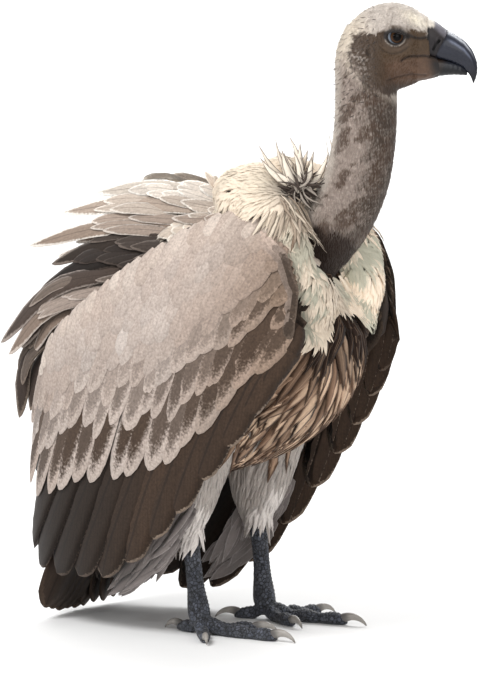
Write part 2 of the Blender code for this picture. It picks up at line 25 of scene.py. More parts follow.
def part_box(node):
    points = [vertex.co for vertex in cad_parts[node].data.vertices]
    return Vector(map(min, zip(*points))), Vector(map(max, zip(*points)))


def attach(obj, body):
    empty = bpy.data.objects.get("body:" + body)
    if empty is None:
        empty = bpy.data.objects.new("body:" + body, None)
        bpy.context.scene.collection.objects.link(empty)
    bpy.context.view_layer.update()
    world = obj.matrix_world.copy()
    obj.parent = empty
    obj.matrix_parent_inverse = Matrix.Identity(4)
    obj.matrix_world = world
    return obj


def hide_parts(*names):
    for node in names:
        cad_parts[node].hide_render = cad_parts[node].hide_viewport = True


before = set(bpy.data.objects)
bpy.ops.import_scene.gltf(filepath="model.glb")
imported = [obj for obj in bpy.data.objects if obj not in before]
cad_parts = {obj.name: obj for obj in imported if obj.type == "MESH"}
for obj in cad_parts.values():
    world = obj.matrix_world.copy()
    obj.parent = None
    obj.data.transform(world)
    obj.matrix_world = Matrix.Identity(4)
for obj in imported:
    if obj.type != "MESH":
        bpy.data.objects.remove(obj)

Array = np.ndarray
Pair = tuple[Array, Array]
Draw = np.random.Generator
Mesh = bpy.types.Mesh
Tree = bpy.types.NodeTree
Socket = bpy.types.NodeSocket
Sockets = dict[str, Socket]
LOG = logging.getLogger("vulture")
MM = 0.001
RIGHT, LEFT = -1, 1
SIDES = {"right": RIGHT, "left": LEFT}
NEIGHBOURS = tuple(product((-1, 0, 1), repeat=3))


# ---- sizes shared with the solids
def mm(*rows: Sequence[float]) -> Array:
    """Rows of millimetres, in metres."""
    return np.array(rows) / 1000


# Trunk, mantle and crissum: (top x, top z, bottom x, bottom z, half width), front to back.
TRUNK = mm(
    (112, 385, 126, 340, 30), (90, 428, 138, 292, 62), (47, 450, 122, 243, 83), (0, 447, 85, 204, 93),
    (-45, 430, 30, 176, 96), (-90, 395, -30, 158, 91), (-125, 345, -90, 151, 77),
    (-150, 283, -133, 156, 56), (-165, 230, -158, 178, 26),
)
MANTLE = mm(
    (12, 450, 20, 395, 28), (-12, 459, 10, 330, 70), (-60, 457, -20, 285, 98), (-105, 436, -60, 245, 101),
    (-150, 382, -100, 205, 92), (-178, 305, -130, 180, 70), (-182, 230, -150, 165, 36),
)
CRISSUM = mm(
    (-70, 190, -65, 150, 30), (-98, 185, -85, 122, 50), (-128, 160, -112, 90, 52),
    (-158, 110, -142, 56, 44), (-178, 60, -165, 30, 22),
)
# Tubes: (x, y of the left one, z, radius or half sizes along and across).
NECK = mm(
    (55, 0, 380, 37), (92, 0, 408, 37), (124, 0, 441, 36.5), (147, 0, 482, 35), (157, 1, 528, 33.5),
    (157, 4, 576, 33), (153, 9, 612, 32.5), (155, 14, 640, 26),
)
RUFF = mm(
    (22, -12, 455, 34), (34, 28, 459, 41), (64, 53, 448, 39), (94, 57, 416, 34), (113, 49, 374, 34),
    (117, 38, 330, 24),
)
THIGH = mm(
    (22, 52, 262, 24, 22), (4, 58, 238, 44, 40), (-13, 64, 196, 45, 40), (-20, 66, 158, 38, 33),
    (-24, 65, 128, 29, 23), (-27, 64, 106, 16, 13),
)
SHANK = mm(
    (-26, 63, 138, 10.5), (-22, 63, 118, 10.5), (-18, 62, 85, 8.8), (-14, 61, 50, 9.2),
    (-11, 60, 26, 11.8), (-8, 60, 13, 10.5), (-4, 60, 10, 6),
)
# Head frame, mm: (top a, top c, bottom a, bottom c, half width); a forward, c up.
HEAD = (
    (-57.5, -14, -57, -30, 7), (-54, -1.5, -53, -40, 15.5), (-43.5, 14.5, -43.5, -51, 23.5),
    (-26, 28, -26, -58, 28), (-6, 33.5, -6, -59, 29), (10, 31.5, 10, -55.5, 27),
    (22, 26.5, 22, -50.5, 22.5), (34, 19.3, 34, -46.6, 17.5), (36.5, 17, 36.5, -45, 15),
)
CHIN = (
    (20, -24, 20, -49.5, 20.5), (34, -22.2, 34, -46.8, 17), (41, -23.4, 41, -45.2, 14.3),
    (46.5, -25.8, 46.5, -43.6, 12.2),
)
CERE = (
    (33.5, 19.3, 33.5, -21.4, 16.6), (44, 12, 37.5, -22.3, 14.4), (53.4, 5.2, 40.4, -23.2, 12.6),
    (55, 3.6, 42.5, -23.2, 11.4),
)
BILL_UPPER = (
    (53.2, 5.6, 40.2, -23.2, 12.7), (62.5, -0.2, 49, -25.8, 11.4), (72, -7, 57.5, -28, 9.9),
    (79.5, -16, 64.5, -30.8, 8.1), (84.2, -26.5, 70.5, -34, 6.2), (86, -36, 75.5, -39.3, 4.3),
    (84.8, -44, 79.2, -45, 2.5), (82.4, -50.5, 81.2, -50.5, 0.7),
)
BILL_LOWER = (
    (41.5, -24.6, 41.5, -44.2, 12.2), (48, -25.4, 46.7, -43.4, 11.4), (60, -28.4, 60, -42.2, 8.8),
    (69, -32.2, 69.5, -42.4, 6.2), (75.4, -38, 75.2, -42.6, 2.8),
)
HEAD_AT = np.array((0.177, 0.027, 0.635))
HEAD_TURN = math.radians(35.0)
EYE_RADIUS, EYE_SIDE = 10.4, 17.6
# Wing chart in side view: top and lower edges from the breast (share 0) to the rump (share 1).
WING_TOP = mm(
    (128, 325), (131, 375), (116, 412), (84, 438), (45, 446), (-5, 420), (-60, 384), (-115, 344),
    (-165, 305), (-198, 245),
)
WING_BOTTOM = mm(
    (121, 312), (103, 272), (77, 231), (40, 180), (-3, 130), (-52, 82), (-105, 56), (-157, 52), (-211, 56),
    (-255, 88),
)
COVERT_END = (0.8, 0.72, 0.71, 0.77, 0.79, 0.73, 0.67, 0.66, 0.7, 0.58)
WING_DROOP, DROOP_AT, DROOP_REACH = {RIGHT: 0.0, LEFT: 0.038}, 0.68, 0.17
CLOAK_X, CLOAK_HALF_X, CLOAK_SQUARE_X = -0.03, 0.212, 2.5
CLOAK_Z, CLOAK_HALF_Z, CLOAK_SQUARE_Z = 0.23, 0.258, 2.6
CLOAK_HALF_Y = 0.134
# Scapular plumes and thigh flags, left side: root, middle, tip and half width.
PLUMES = mm(
    (-18, 14, 450, -89, 16, 460, -170, 18, 450, 14), (-24, 30, 440, -107, 30, 444, -209, 28, 427, 14),
    (-30, 44, 424, -137, 44, 418, -242, 40, 391, 14), (-44, 54, 412, -124, 54, 404, -206, 50, 375, 15),
    (-58, 66, 396, -142, 66, 382, -212, 60, 350, 16), (-76, 78, 378, -178, 78, 356, -258, 70, 290, 18),
    (-88, 82, 364, -180, 87, 334, -240, 80, 280, 17), (-120, 78, 340, -212, 76, 286, -236, 68, 212, 16),
)
FLAGS = mm((4, 84, 150, -50, 90, 82, -132, 80, 16, 21), (-10, 72, 140, -40, 72, 100, -68, 68, 62, 18))
TAIL_ROOT, TAIL_TIP = np.array((-0.14, 0, 0.205)), np.array((-0.206, 0, -0.0045))
TAIL_HALF_ROOT, TAIL_HALF_TIP = 0.034, 0.094
ANKLE = np.array((-0.009, 0.06, 0.0125))
FOOT_YAW = {"right": 2, "left": 9}
# Toe: angle outwards in degrees, length, radius, claw length and pads.
TOES = {
    "inner": (-36, 0.062, 0.008, 0.026, 2),
    "middle": (0, 0.096, 0.0084, 0.029, 3),
    "outer": (52, 0.066, 0.0076, 0.022, 3),
    "hind": (-166, 0.034, 0.0076, 0.027, 1),
}


# ---- numbers, curves and colours
def linear(code: str | Array) -> Array:
    """Turns an sRGB hex value into linear red, green and blue; a ready colour stays as it is."""
    if not isinstance(code, str):
        return code
    value = np.array([int(code[k : k + 2], 16) / 255 for k in (1, 3, 5)])
    return np.where(value <= 0.04045, value / 12.92, ((value + 0.055) / 1.055) ** 2.4)


def through(rows: Sequence | Array, shares: int | Array) -> Array:
    """Reads a Catmull-Rom curve through rows of numbers.

    Args:
        rows: The rows that the curve passes through.
        shares: How many even shares to read, or the shares themselves, from 0 to 1.

    Returns:
        One row of numbers for each share.
    """
    rows = np.asarray(rows, float)
    if isinstance(shares, int):
        shares = np.linspace(0, 1, shares)
    padded = np.vstack([2 * rows[0] - rows[1], rows, 2 * rows[-1] - rows[-2]])
    place = np.clip(shares, 0, 1) * (len(rows) - 1)
    low = np.minimum(place.astype(int), len(rows) - 2)
    f = (place - low)[..., None]
    p0, p1, p2, p3 = (padded[low + k] for k in range(4))
    bend = (2 * p0 - 5 * p1 + 4 * p2 - p3) * f**2 + (3 * p1 - p0 - 3 * p2 + p3) * f**3
    return 0.5 * (2 * p1 + (p2 - p0) * f + bend)


def straight(rows: Sequence, share: Array) -> Array:
    """Reads rows of numbers in straight runs at shares from 0 to 1."""
    rows = np.asarray(rows, float).reshape(len(rows), -1)
    places = np.linspace(0, 1, len(rows))
    return np.stack([np.interp(share, places, column) for column in rows.T], axis=-1)


def unit(vectors: Array) -> Array:
    """The vectors at a length of one."""
    return vectors / np.maximum(np.linalg.norm(vectors, axis=-1, keepdims=True), 1e-9)


def far(points: Array, place: Sequence) -> Array:
    """How far each point is from a place."""
    return np.linalg.norm(points - np.asarray(place), axis=1)


def smooth(value: Array, low: float, high: float) -> Array:
    """A soft step from 0 at low to 1 at high."""
    t = np.clip((value - low) / (high - low), 0, 1)
    return t * t * (3 - 2 * t)


def bell(value: Array, width: float) -> Array:
    """One where the value is 0, and near 0 from twice the width on."""
    return np.exp(-((value / width) ** 2))


def mixed(first: str | Array, second: str | Array, share: Array) -> Array:
    """Blends two colours, or two rows of colours, by a share for each row."""
    share = np.asarray(share)[..., None]
    return linear(first) * (1 - share) + linear(second) * share


def coated(tint: Array, *coats: tuple[str | Array, Array]) -> Array:
    """Lays coats of colour over a tint one by one, each by its own share."""
    for colour, share in coats:
        tint = mixed(tint, colour, share)
    return tint


def lumps(points: Array, size: float, seed: int, octaves: int = 3) -> Array:
    """Smooth random relief in space, made of crossed waves.

    Args:
        points: Places, in metres.
        size: Size of the largest lumps, in metres.
        seed: Seed of the waves.
        octaves: How many sizes of lump are added, each half the one before.

    Returns:
        A value for each place, mostly from -1 to 1.
    """
    draw = np.random.default_rng(seed)
    total, weight = np.zeros(len(points)), 0.0
    for octave in range(octaves):
        strength = 0.6**octave
        for _ in range(5):
            wave = unit(draw.normal(size=3)) * 2 * math.pi * 2**octave / size
            total += strength * np.sin(points @ (wave * draw.uniform(0.7, 1.3)) + draw.uniform(0, 6.3))
        weight += strength * 5**0.5 * 0.9
    return total / weight


def swirl(points: Array, size: float, seed: int) -> Array:
    """A smooth random turn of the lie of feathers at each place."""
    return np.stack([lumps(points, size, seed + k, 1) for k in range(3)], axis=-1)


def near_line(a: Array, c: Array, line: Sequence) -> Array:
    """Distance of places (a, c) from a line of straight runs."""
    found = np.full(len(a), 1e9)
    for (a0, c0), (a1, c1) in zip(line, line[1:]):
        run = np.array((a1 - a0, c1 - c0))
        t = np.clip(((a - a0) * run[0] + (c - c0) * run[1]) / (run @ run), 0, 1)
        found = np.minimum(found, np.hypot(a - a0 - t * run[0], c - c0 - t * run[1]))
    return found


def nearest_index(marks: Array, points: Array) -> Array:
    """The number of the mark nearest to each point."""
    tree = KDTree(len(marks))
    for k, mark in enumerate(marks):
        tree.insert(mark, k)
    tree.balance()
    return np.array([tree.find(point)[1] for point in points])


def lid_ring(a: Array, c: Array) -> Array:
    """How far places of the face lie from the eye's middle, in sizes of its opening."""
    return np.hypot(a / 9.6, (c + 0.2) / (8.4 - 1.1 * (c > 0)))


def from_head(points: Array) -> Array:
    """Places in the head frame, in mm, as places on the bird."""
    c, s = math.cos(HEAD_TURN), math.sin(HEAD_TURN)
    a, b, up = (np.asarray(points)[..., k] * MM for k in range(3))
    return HEAD_AT + np.stack([c * a - s * b, s * a + c * b, up], axis=-1)


def to_head(points: Array) -> Array:
    """Places on the bird as places in the head frame, in mm."""
    c, s = math.cos(HEAD_TURN), math.sin(HEAD_TURN)
    x, y, z = np.moveaxis((points - HEAD_AT) / MM, -1, 0)
    return np.stack([c * x + s * y, -s * x + c * y, z], axis=-1)


def shift_to_frame() -> Array:
    """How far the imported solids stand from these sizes' own origin."""
    eyes = [np.array(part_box(f"eye_{word}")).mean(axis=0) for word in SIDES]
    return (eyes[0] + eyes[1]) / 2 - HEAD_AT


SHIFT = shift_to_frame()


# ---- rings
def oval(centre: Array, side: Array, up: Array, count: int, squares: tuple[float, float]) -> Array:
    """A closed ring round a centre, with a squareness above and one below."""
    turn = np.linspace(0, 2 * math.pi, count, endpoint=False)
    c, s = np.cos(turn), np.sin(turn)
    power = np.where(s >= 0, 2 / squares[0], 2 / squares[1])
    across, tall = np.sign(c) * np.abs(c) ** power, np.sign(s) * np.abs(s) ** power
    return centre + side * across[:, None] + up * tall[:, None]


def station_rings(
    stations: Sequence,
    rings: int,
    around: int,
    squares: tuple[float, float] = (2.2, 2.2),
    inset: float = 0.0,
) -> list[Array]:
    """Rings whose top and bottom lie in the middle plane, drawn in by an inset."""
    found = []
    for top_x, top_z, low_x, low_z, half in through(stations, rings):
        top, low = np.array((top_x, 0, top_z)), np.array((low_x, 0, low_z))
        up = (top - low) / 2
        keep = max(1 - inset / max(np.linalg.norm(up), 1e-6), 0.15)
        side = np.array((0, max(half - inset, half * 0.15, 1e-5), 0))
        found.append(oval((top + low) / 2, side, up * keep, around, squares))
    return found


def tube_rings(path: Sequence, rings: int, around: int, inset: float = 0.0) -> list[Array]:
    """Rings square to a path of rows (place, half size along, half size across)."""
    rows = through(path, rings)
    centres = rows[:, :3]
    ahead = unit(np.gradient(centres, axis=0))
    side = unit(np.cross(ahead, (0, 1, 0)))
    up = np.cross(side, ahead)
    return [
        oval(
            centres[k],
            side[k] * max(row[3] - inset, 0.2 * row[3]),
            up[k] * max(row[-1] - inset, 0.2 * row[-1]),
            around,
            (2, 2),
        )
        for k, row in enumerate(rows)
    ]


def mirrored(rows: Sequence, side: int) -> Array:
    """Rows of the left side, moved to the side asked for."""
    rows = np.array(rows, float)
    rows[..., 1] *= side
    return rows


def loft(bm: bmesh.types.BMesh, rings: Sequence[Array]) -> None:
    """Adds a closed solid through rings of equal count, bridged ring to ring and capped."""
    loops = []
    for ring in rings:
        verts = [bm.verts.new(point) for point in ring]
        loops.append([bm.edges.new((verts[k - 1], verts[k])) for k in range(len(verts))])
    for first, second in zip(loops, loops[1:]):
        bmesh.ops.bridge_loops(bm, edges=first + second)
    for end in (loops[0], loops[-1]):
        bmesh.ops.edgeloop_fill(bm, edges=end)


def lofted(name: str, solids: Sequence[Sequence[Array]]) -> Mesh:
    """A mesh of closed solids, each lofted through its own rings."""
    mesh = bpy.data.meshes.new(name)
    with edited(mesh) as bm:
        for rings in solids:
            loft(bm, rings)
        bmesh.ops.recalc_face_normals(bm, faces=bm.faces)
    return mesh


@contextmanager
def edited(mesh: Mesh) -> Iterator[bmesh.types.BMesh]:
    """Opens a mesh for bmesh operators, and writes it back."""
    bm = bmesh.new()
    bm.from_mesh(mesh)
    yield bm
    bm.to_mesh(mesh)
    bm.free()


def put(items: Sequence, name: str, values: Array, kind: type = np.float32) -> None:
    """Writes rows of values to one property of all items of a mesh."""
    items.foreach_set(name, values.astype(kind).ravel())


def got(items: Sequence, name: str, width: int = 3, kind: type = np.float32) -> Array:
    """Reads one property of all items of a mesh, as rows."""
    found = np.empty(len(items) * width, kind)
    items.foreach_get(name, found)
    return found.reshape(-1, width)


def vertex_array(mesh: Mesh, what: str = "co") -> Array:
    """Reads a mesh's points or normals as rows."""
    return got(mesh.vertices, what).astype(float)


def paint(mesh: Mesh, name: str, values: Array) -> None:
    """Writes an attribute on the points: a number each, or a colour each."""
    if values.ndim == 1:
        put(mesh.attributes.new(name, "FLOAT", "POINT").data, "value", values)
    else:
        colours = np.concatenate([values, np.ones((len(values), 1))], axis=1)
        put(mesh.attributes.new(name, "FLOAT_COLOR", "POINT").data, "color", colours)


def shown(name: str, data: bpy.types.ID) -> bpy.types.Object:
    """Puts a mesh, light or camera in the scene."""
    made = bpy.data.objects.new(name, data)
    bpy.context.scene.collection.objects.link(made)
    return made


def finish_piece(name: str, mesh: Mesh, finish: "Finish", slot: str, *nodes: str) -> None:
    """Puts a finished mesh in the scene, riding on the bird's one body.

    Args:
        name: The piece's name.
        mesh: Its mesh, in these sizes' own place.
        finish: Its finish.
        slot: The record's material slot; not used.
        nodes: The solids that it replaces.
    """
    put(mesh.vertices, "co", vertex_array(mesh) + SHIFT)
    mesh.materials.append(finish.make())
    put(mesh.polygons, "use_smooth", np.ones(len(mesh.polygons)), bool)
    mesh.update()
    made = shown(name, mesh)
    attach(made, "root")
    if nodes:
        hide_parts(*nodes)
    LOG.info("%s: %d triangles", name, len(mesh.loops) - 2 * len(mesh.polygons))


# ---- finishes
def add_node(tree: Tree, kind: str, inputs: dict, out: int | str = 0, **settings: object) -> Socket:
    """Adds a node with its settings, fills or links its inputs, and gives one of its outputs."""
    node = tree.nodes.new(f"ShaderNode{kind}")
    for name, value in settings.items():
        setattr(node, name, value)
    for key, value in inputs.items():
        if isinstance(value, Socket):
            tree.links.new(value, node.inputs[key])
        else:
            node.inputs[key].default_value = value
    return node.outputs[out]


def shaded(tree: Tree, colour: object, mask: object, low: float, high: float) -> object:
    """A colour darkened or lightened by a mask: times low where it is 0 and high where it is 1."""
    level = add_node(tree, "MapRange", {0: mask, 3: low, 4: high})
    return add_node(tree, "VectorMath", {0: colour, "Scale": level}, operation="SCALE")


@dataclass(frozen=True)
class Finish:
    """What every finish has: its name and the numbers that stand on its shader's own sockets."""

    name: str
    roughness: float = 0.82
    sheen: float = 0.04
    coat: float = 0.0
    gloss: float = 0.15
    coat_roughness: float = 0.08

    @cache
    def make(self) -> bpy.types.Material:
        """Builds the material and links its colour, roughness and relief, where it has them."""
        material = bpy.data.materials.new(self.name)
        material.use_nodes = True
        tree = material.node_tree
        shader = tree.nodes["Principled BSDF"]
        fixed = {
            "Roughness": self.roughness, "Specular IOR Level": self.gloss, "Sheen Weight": self.sheen,
            "Sheen Roughness": 0.6, "Coat Weight": self.coat, "Coat Roughness": self.coat_roughness,
        }
        for name, value in fixed.items():
            shader.inputs[name].default_value = value
        place = add_node(tree, "TexCoord", {}, "Object")
        for name, socket in self.surface(tree, place).items():
            tree.links.new(socket, shader.inputs[name])
        return material

    def surface(self, tree: Tree, place: Socket) -> Sockets:
        """What varies from place to place, by the name of the shader's input."""
        return {}


@dataclass(frozen=True)
class PlumageFinish(Finish):
    """Keratin vanes: barbs run out from a shaft, and a pale border follows the edge."""

    border: tuple[float, float] = (0.62, 0.86)
    barb: float = 0.3
    speckle: float = 0.25
    grain: float = 0.2
    shaft: str = "#2A211C"
    shaft_share: float = 0.5
    tip_power: float = 7.0

    def surface(self, tree: Tree, place: Socket) -> Sockets:
        """Colour and relief from the vane's own chart and its two tints."""
        centre = add_node(tree, "Attribute", {}, "Color", attribute_name="centre")
        edge = add_node(tree, "Attribute", {}, "Color", attribute_name="edge")
        split = add_node(tree, "SeparateXYZ", {0: add_node(tree, "UVMap", {}, uv_map="vane")})
        along = split.node.outputs[1]
        across = add_node(tree, "Math", {0: split, 1: 2.0, 2: -1.0}, operation="MULTIPLY_ADD")
        out = add_node(tree, "Math", {0: across}, operation="ABSOLUTE")
        tip = add_node(tree, "Math", {0: along, 1: self.tip_power}, operation="POWER")
        reach = add_node(tree, "Math", {0: out, 1: out, 2: tip}, operation="MULTIPLY_ADD")
        # Barbs: fine stripes that slant out from the shaft towards the tip.
        slant = add_node(tree, "Math", {0: out, 1: -0.28, 2: along}, operation="MULTIPLY_ADD")
        stripe = add_node(tree, "CombineXYZ", {0: split, 1: slant})
        lie = {0: stripe, 1: (1.2, 34.0, 1.0), 2: place}
        lie = add_node(tree, "VectorMath", lie, operation="MULTIPLY_ADD")
        barbs = add_node(tree, "TexNoise", {"Vector": lie, "Scale": 1.0, "Detail": 2.0})
        # Grain of the barbules, drawn a little coarse so that it shows.
        grain = add_node(tree, "TexNoise", {"Vector": place, "Scale": 400.0, "Detail": 1.0})
        ragged = add_node(tree, "Math", {0: grain, 1: self.speckle, 2: reach}, operation="MULTIPLY_ADD")
        low, high = (level + self.speckle / 2 for level in self.border)
        border = {0: ragged, 1: low, 2: high}
        border = add_node(tree, "MapRange", border, interpolation_type="SMOOTHSTEP")
        colour = add_node(tree, "Mix", {0: border, 6: centre, 7: edge}, 2, data_type="RGBA")
        colour = shaded(tree, colour, barbs, 1 - self.barb, 1 + self.barb)
        colour = shaded(tree, colour, grain, 1 - self.grain, 1 + self.grain)
        thin = add_node(tree, "MapRange", {0: out, 1: 0.035, 2: 0.075, 3: self.shaft_share, 4: 0.0})
        shaft = (*linear(self.shaft), 1.0)
        colour = add_node(tree, "Mix", {0: thin, 6: colour, 7: shaft}, 2, data_type="RGBA")
        relief = add_node(tree, "Bump", {"Strength": 0.35, "Distance": 0.0004, "Height": barbs})
        return {"Base Color": colour, "Normal": relief}


@dataclass(frozen=True)
class DownFinish(Finish):
    """Loose down: no shaft to see, matt and soft at its edges."""

    roughness: float = 0.95
    sheen: float = 0.12
    gloss: float = 0.1

    def surface(self, tree: Tree, place: Socket) -> Sockets:
        """Colour from the tufts' two tints, root to tip."""
        centre = add_node(tree, "Attribute", {}, "Color", attribute_name="centre")
        edge = add_node(tree, "Attribute", {}, "Color", attribute_name="edge")
        along = add_node(tree, "SeparateXYZ", {0: add_node(tree, "UVMap", {}, uv_map="vane")}, 1)
        colour = add_node(tree, "Mix", {0: along, 6: centre, 7: edge}, 2, data_type="RGBA")
        grain = add_node(tree, "TexNoise", {"Vector": place, "Scale": 700.0, "Detail": 2.0})
        return {"Base Color": shaded(tree, colour, grain, 0.88, 1.12)}


@dataclass(frozen=True)
class SkinFinish(Finish):
    """Living skin: leathery and finely wrinkled on the face, netted with scales on the legs."""

    name: str = "vulture_skin"
    roughness: float = 0.62
    sheen: float = 0.08
    gloss: float = 0.35
    scale_mm: float = 3.7
    wrinkle_mm: float = 1.7

    def surface(self, tree: Tree, place: Socket) -> Sockets:
        """Colour, roughness and relief from the skin's painted markings."""
        marking = add_node(tree, "Attribute", {}, "Color", attribute_name="marking")
        scaly = add_node(tree, "Attribute", {}, "Fac", attribute_name="scaly")
        fine = add_node(tree, "TexNoise", {"Vector": place, "Scale": 1000 / self.wrinkle_mm, "Detail": 3.0})
        mottle = add_node(tree, "TexNoise", {"Vector": place, "Scale": 160.0, "Detail": 4.0})
        scales = {"Vector": place, "Scale": 1000 / self.scale_mm}
        cells = add_node(tree, "TexVoronoi", scales, "Distance", feature="DISTANCE_TO_EDGE")
        plate = add_node(tree, "MapRange", {0: cells, 1: 0.02, 2: 0.16}, interpolation_type="SMOOTHSTEP")
        colour = shaded(tree, shaded(tree, marking, fine, 0.72, 1.28), mottle, 0.78, 1.22)
        tone = add_node(tree, "TexVoronoi", scales, "Color")
        netted = shaded(tree, shaded(tree, colour, plate, 0.2, 1.45), tone, 0.4, 1.7)
        colour = add_node(tree, "Mix", {0: scaly, 6: colour, 7: netted}, 2, data_type="RGBA")
        wrinkles = add_node(tree, "Bump", {"Strength": 0.5, "Distance": 0.0006, "Height": fine})
        depth = add_node(tree, "Math", {0: plate, 1: scaly}, operation="MULTIPLY")
        relief = {"Strength": 0.8, "Distance": 0.0009, "Height": depth, "Normal": wrinkles}
        rough = add_node(tree, "MapRange", {0: mottle, 3: self.roughness - 0.1, 4: self.roughness + 0.12})
        return {"Roughness": rough, "Base Color": colour, "Normal": add_node(tree, "Bump", relief)}


@dataclass(frozen=True)
class HornFinish(Finish):
    """Keratin horn of the bill and claws: smooth, a little glossy, with faint growth streaks."""

    sheen: float = 0.0
    gloss: float = 0.25
    streak_mm: float = 1.4

    def surface(self, tree: Tree, place: Socket) -> Sockets:
        """Colour, roughness and relief from the horn's painted tint."""
        marking = add_node(tree, "Attribute", {}, "Color", attribute_name="marking")
        lie = {"Vector": place, "Rotation": (0, 0.5, -HEAD_TURN), "Scale": (0.22, 1, 1)}
        lie = add_node(tree, "Mapping", lie)
        streak = add_node(tree, "TexNoise", {"Vector": lie, "Scale": 1000 / self.streak_mm, "Detail": 3.0})
        cloud = add_node(tree, "TexNoise", {"Vector": place, "Scale": 140.0, "Detail": 3.0})
        colour = shaded(tree, shaded(tree, marking, streak, 0.8, 1.2), cloud, 0.78, 1.22)
        rough = add_node(tree, "MapRange", {0: cloud, 3: self.roughness - 0.08, 4: self.roughness + 0.14})
        relief = add_node(tree, "Bump", {"Strength": 0.25, "Distance": 0.0003, "Height": streak})
        return {"Base Color": colour, "Roughness": rough, "Normal": relief}


@dataclass(frozen=True)
class EyeFinish(Finish):
    """A wet eye: black pupil, brown iris and a dark rim under a clear, glossy surface."""

    name: str = "eye_cornea"
    roughness: float = 0.12
    sheen: float = 0.0
    coat: float = 0.1
    gloss: float = 0.04
    coat_roughness: float = 0.02
    tints: tuple[tuple[float, str], ...] = (
        (0.00, "#050404"), (0.36, "#060505"), (0.41, "#2B1C11"), (0.56, "#4B3423"),
        (0.64, "#181412"), (0.72, "#5D646F"), (0.86, "#7D848E"), (1.00, "#15151A"),
    )

    def surface(self, tree: Tree, place: Socket) -> Sockets:
        """Colour from the share of the way out from the pupil's middle."""
        ring = add_node(tree, "Attribute", {}, "Fac", attribute_name="ring")
        fibre = add_node(tree, "TexNoise", {"Vector": place, "Scale": 1400.0})
        ramp = add_node(tree, "ValToRGB", {0: ring})
        stops = ramp.node.color_ramp.elements
        for share, _ in self.tints[1:-1]:
            stops.new(share)
        for stop, (_, code) in zip(stops, self.tints):
            stop.color = (*linear(code), 1.0)
        return {"Base Color": shaded(tree, ramp, fibre, 0.75, 1.25)}


@dataclass(frozen=True)
class FloorFinish(Finish):
    """Matt floor paint, all but even."""

    name: str = "floor_paint"
    roughness: float = 0.9
    sheen: float = 0.0
    gloss: float = 0.35

    def surface(self, tree: Tree, place: Socket) -> Sockets:
        """Colour with a faint cloud."""
        grain = add_node(tree, "TexNoise", {"Vector": place, "Scale": 40.0, "Detail": 2.0})
        return {"Base Color": shaded(tree, (0.86, 0.86, 0.855), grain, 0.99, 1.01)}


# ---- the wing's own surface
def cloak_out(x: Array, z: Array) -> Array:
    """How far the folded wings' surface stands from the middle plane."""
    plan = 1 - np.minimum(np.abs((x - CLOAK_X) / CLOAK_HALF_X), 0.995) ** CLOAK_SQUARE_X
    tall = 1 - np.minimum(np.abs((z - CLOAK_Z) / CLOAK_HALF_Z), 0.995) ** CLOAK_SQUARE_Z
    return CLOAK_HALF_Y * plan ** (1 / CLOAK_SQUARE_X) * tall ** (1 / CLOAK_SQUARE_Z)


def pokes_out(points: Array, room: float) -> Array:
    """Whether places behind a wing's front and top edge stand nearer than the room to its surface."""
    x, y, z = np.moveaxis(points, -1, 0)
    tops = np.array(WING_TOP)
    front = np.interp(z, tops[:5, 1], tops[:5, 0])
    top = np.interp(x, tops[:2:-1, 0], tops[:2:-1, 1])
    return (x < front - 0.003) & (z < top - 0.002) & (np.abs(y) > cloak_out(x, z) - room)


def wing_place(across: Array, down: Array, depth: Array, side: int) -> Array:
    """Places on a wing: across from breast to rump, down from top to tips, depth inwards."""
    across, down, depth = np.broadcast_arrays(across, down, depth)
    flat = straight(WING_TOP, across) * (1 - down)[..., None]
    flat = flat + straight(WING_BOTTOM, across) * down[..., None]
    x, z = flat[..., 0], flat[..., 1]
    droop = WING_DROOP[side] * bell(across - DROOP_AT, DROOP_REACH)
    z = z - np.maximum(down, 0) * droop
    return np.stack([x, side * (cloak_out(x, z) - depth), z], axis=-1)


def covert_end(across: Array) -> Array:
    """Where the coverts stop, as a share of the way down the wing."""
    return straight(COVERT_END, across)[..., 0]


# ---- feathers
@dataclass(frozen=True)
class VaneShape:
    """Make of one kind of feather: rings along it and the section of each ring."""

    steps: int
    section: tuple[tuple[float, float], ...]
    outline: tuple[tuple[float, float], ...]
    thickness: float
    camber: float = 0.12
    crowd: float = 1.0

    def shares(self) -> Array:
        """Share of the way along at each ring: they crowd towards a rounded tip."""
        return 1 - (1 - np.linspace(0, 1, self.steps)) ** self.crowd

    def widths(self) -> Array:
        """Half width at each ring, as a share of the feather's own."""
        shares, sizes = zip(*self.outline)
        return np.interp(self.shares(), shares, sizes)


TUFT = ((-1.0, 0.0), (0.0, 1.0), (1.0, 0.0))
LENS = ((-1.0, 0.0), (0.0, 1.0), (1.0, 0.0), (0.0, -1.0))
BROAD = ((-1.0, 0.0), (-0.5, 0.8), (0.0, 1.0), (0.5, 0.8), (1.0, 0.0), (0.0, -0.6))
ROUND_TIP = ((0, 0.35), (0.25, 0.8), (0.55, 1.0), (0.78, 0.95), (0.9, 0.72), (0.97, 0.4), (1, 0.08))
POINTED = ((0, 0.4), (0.25, 0.9), (0.45, 1.0), (0.7, 0.68), (0.88, 0.3), (1, 0.04))
LONG_TIP = ((0, 0.45), (0.2, 0.8), (0.6, 1.0), (0.84, 0.97), (0.93, 0.78), (0.98, 0.42), (1, 0.08))
WISP = ((0, 0.6), (0.35, 1.0), (0.7, 0.6), (1, 0.04))

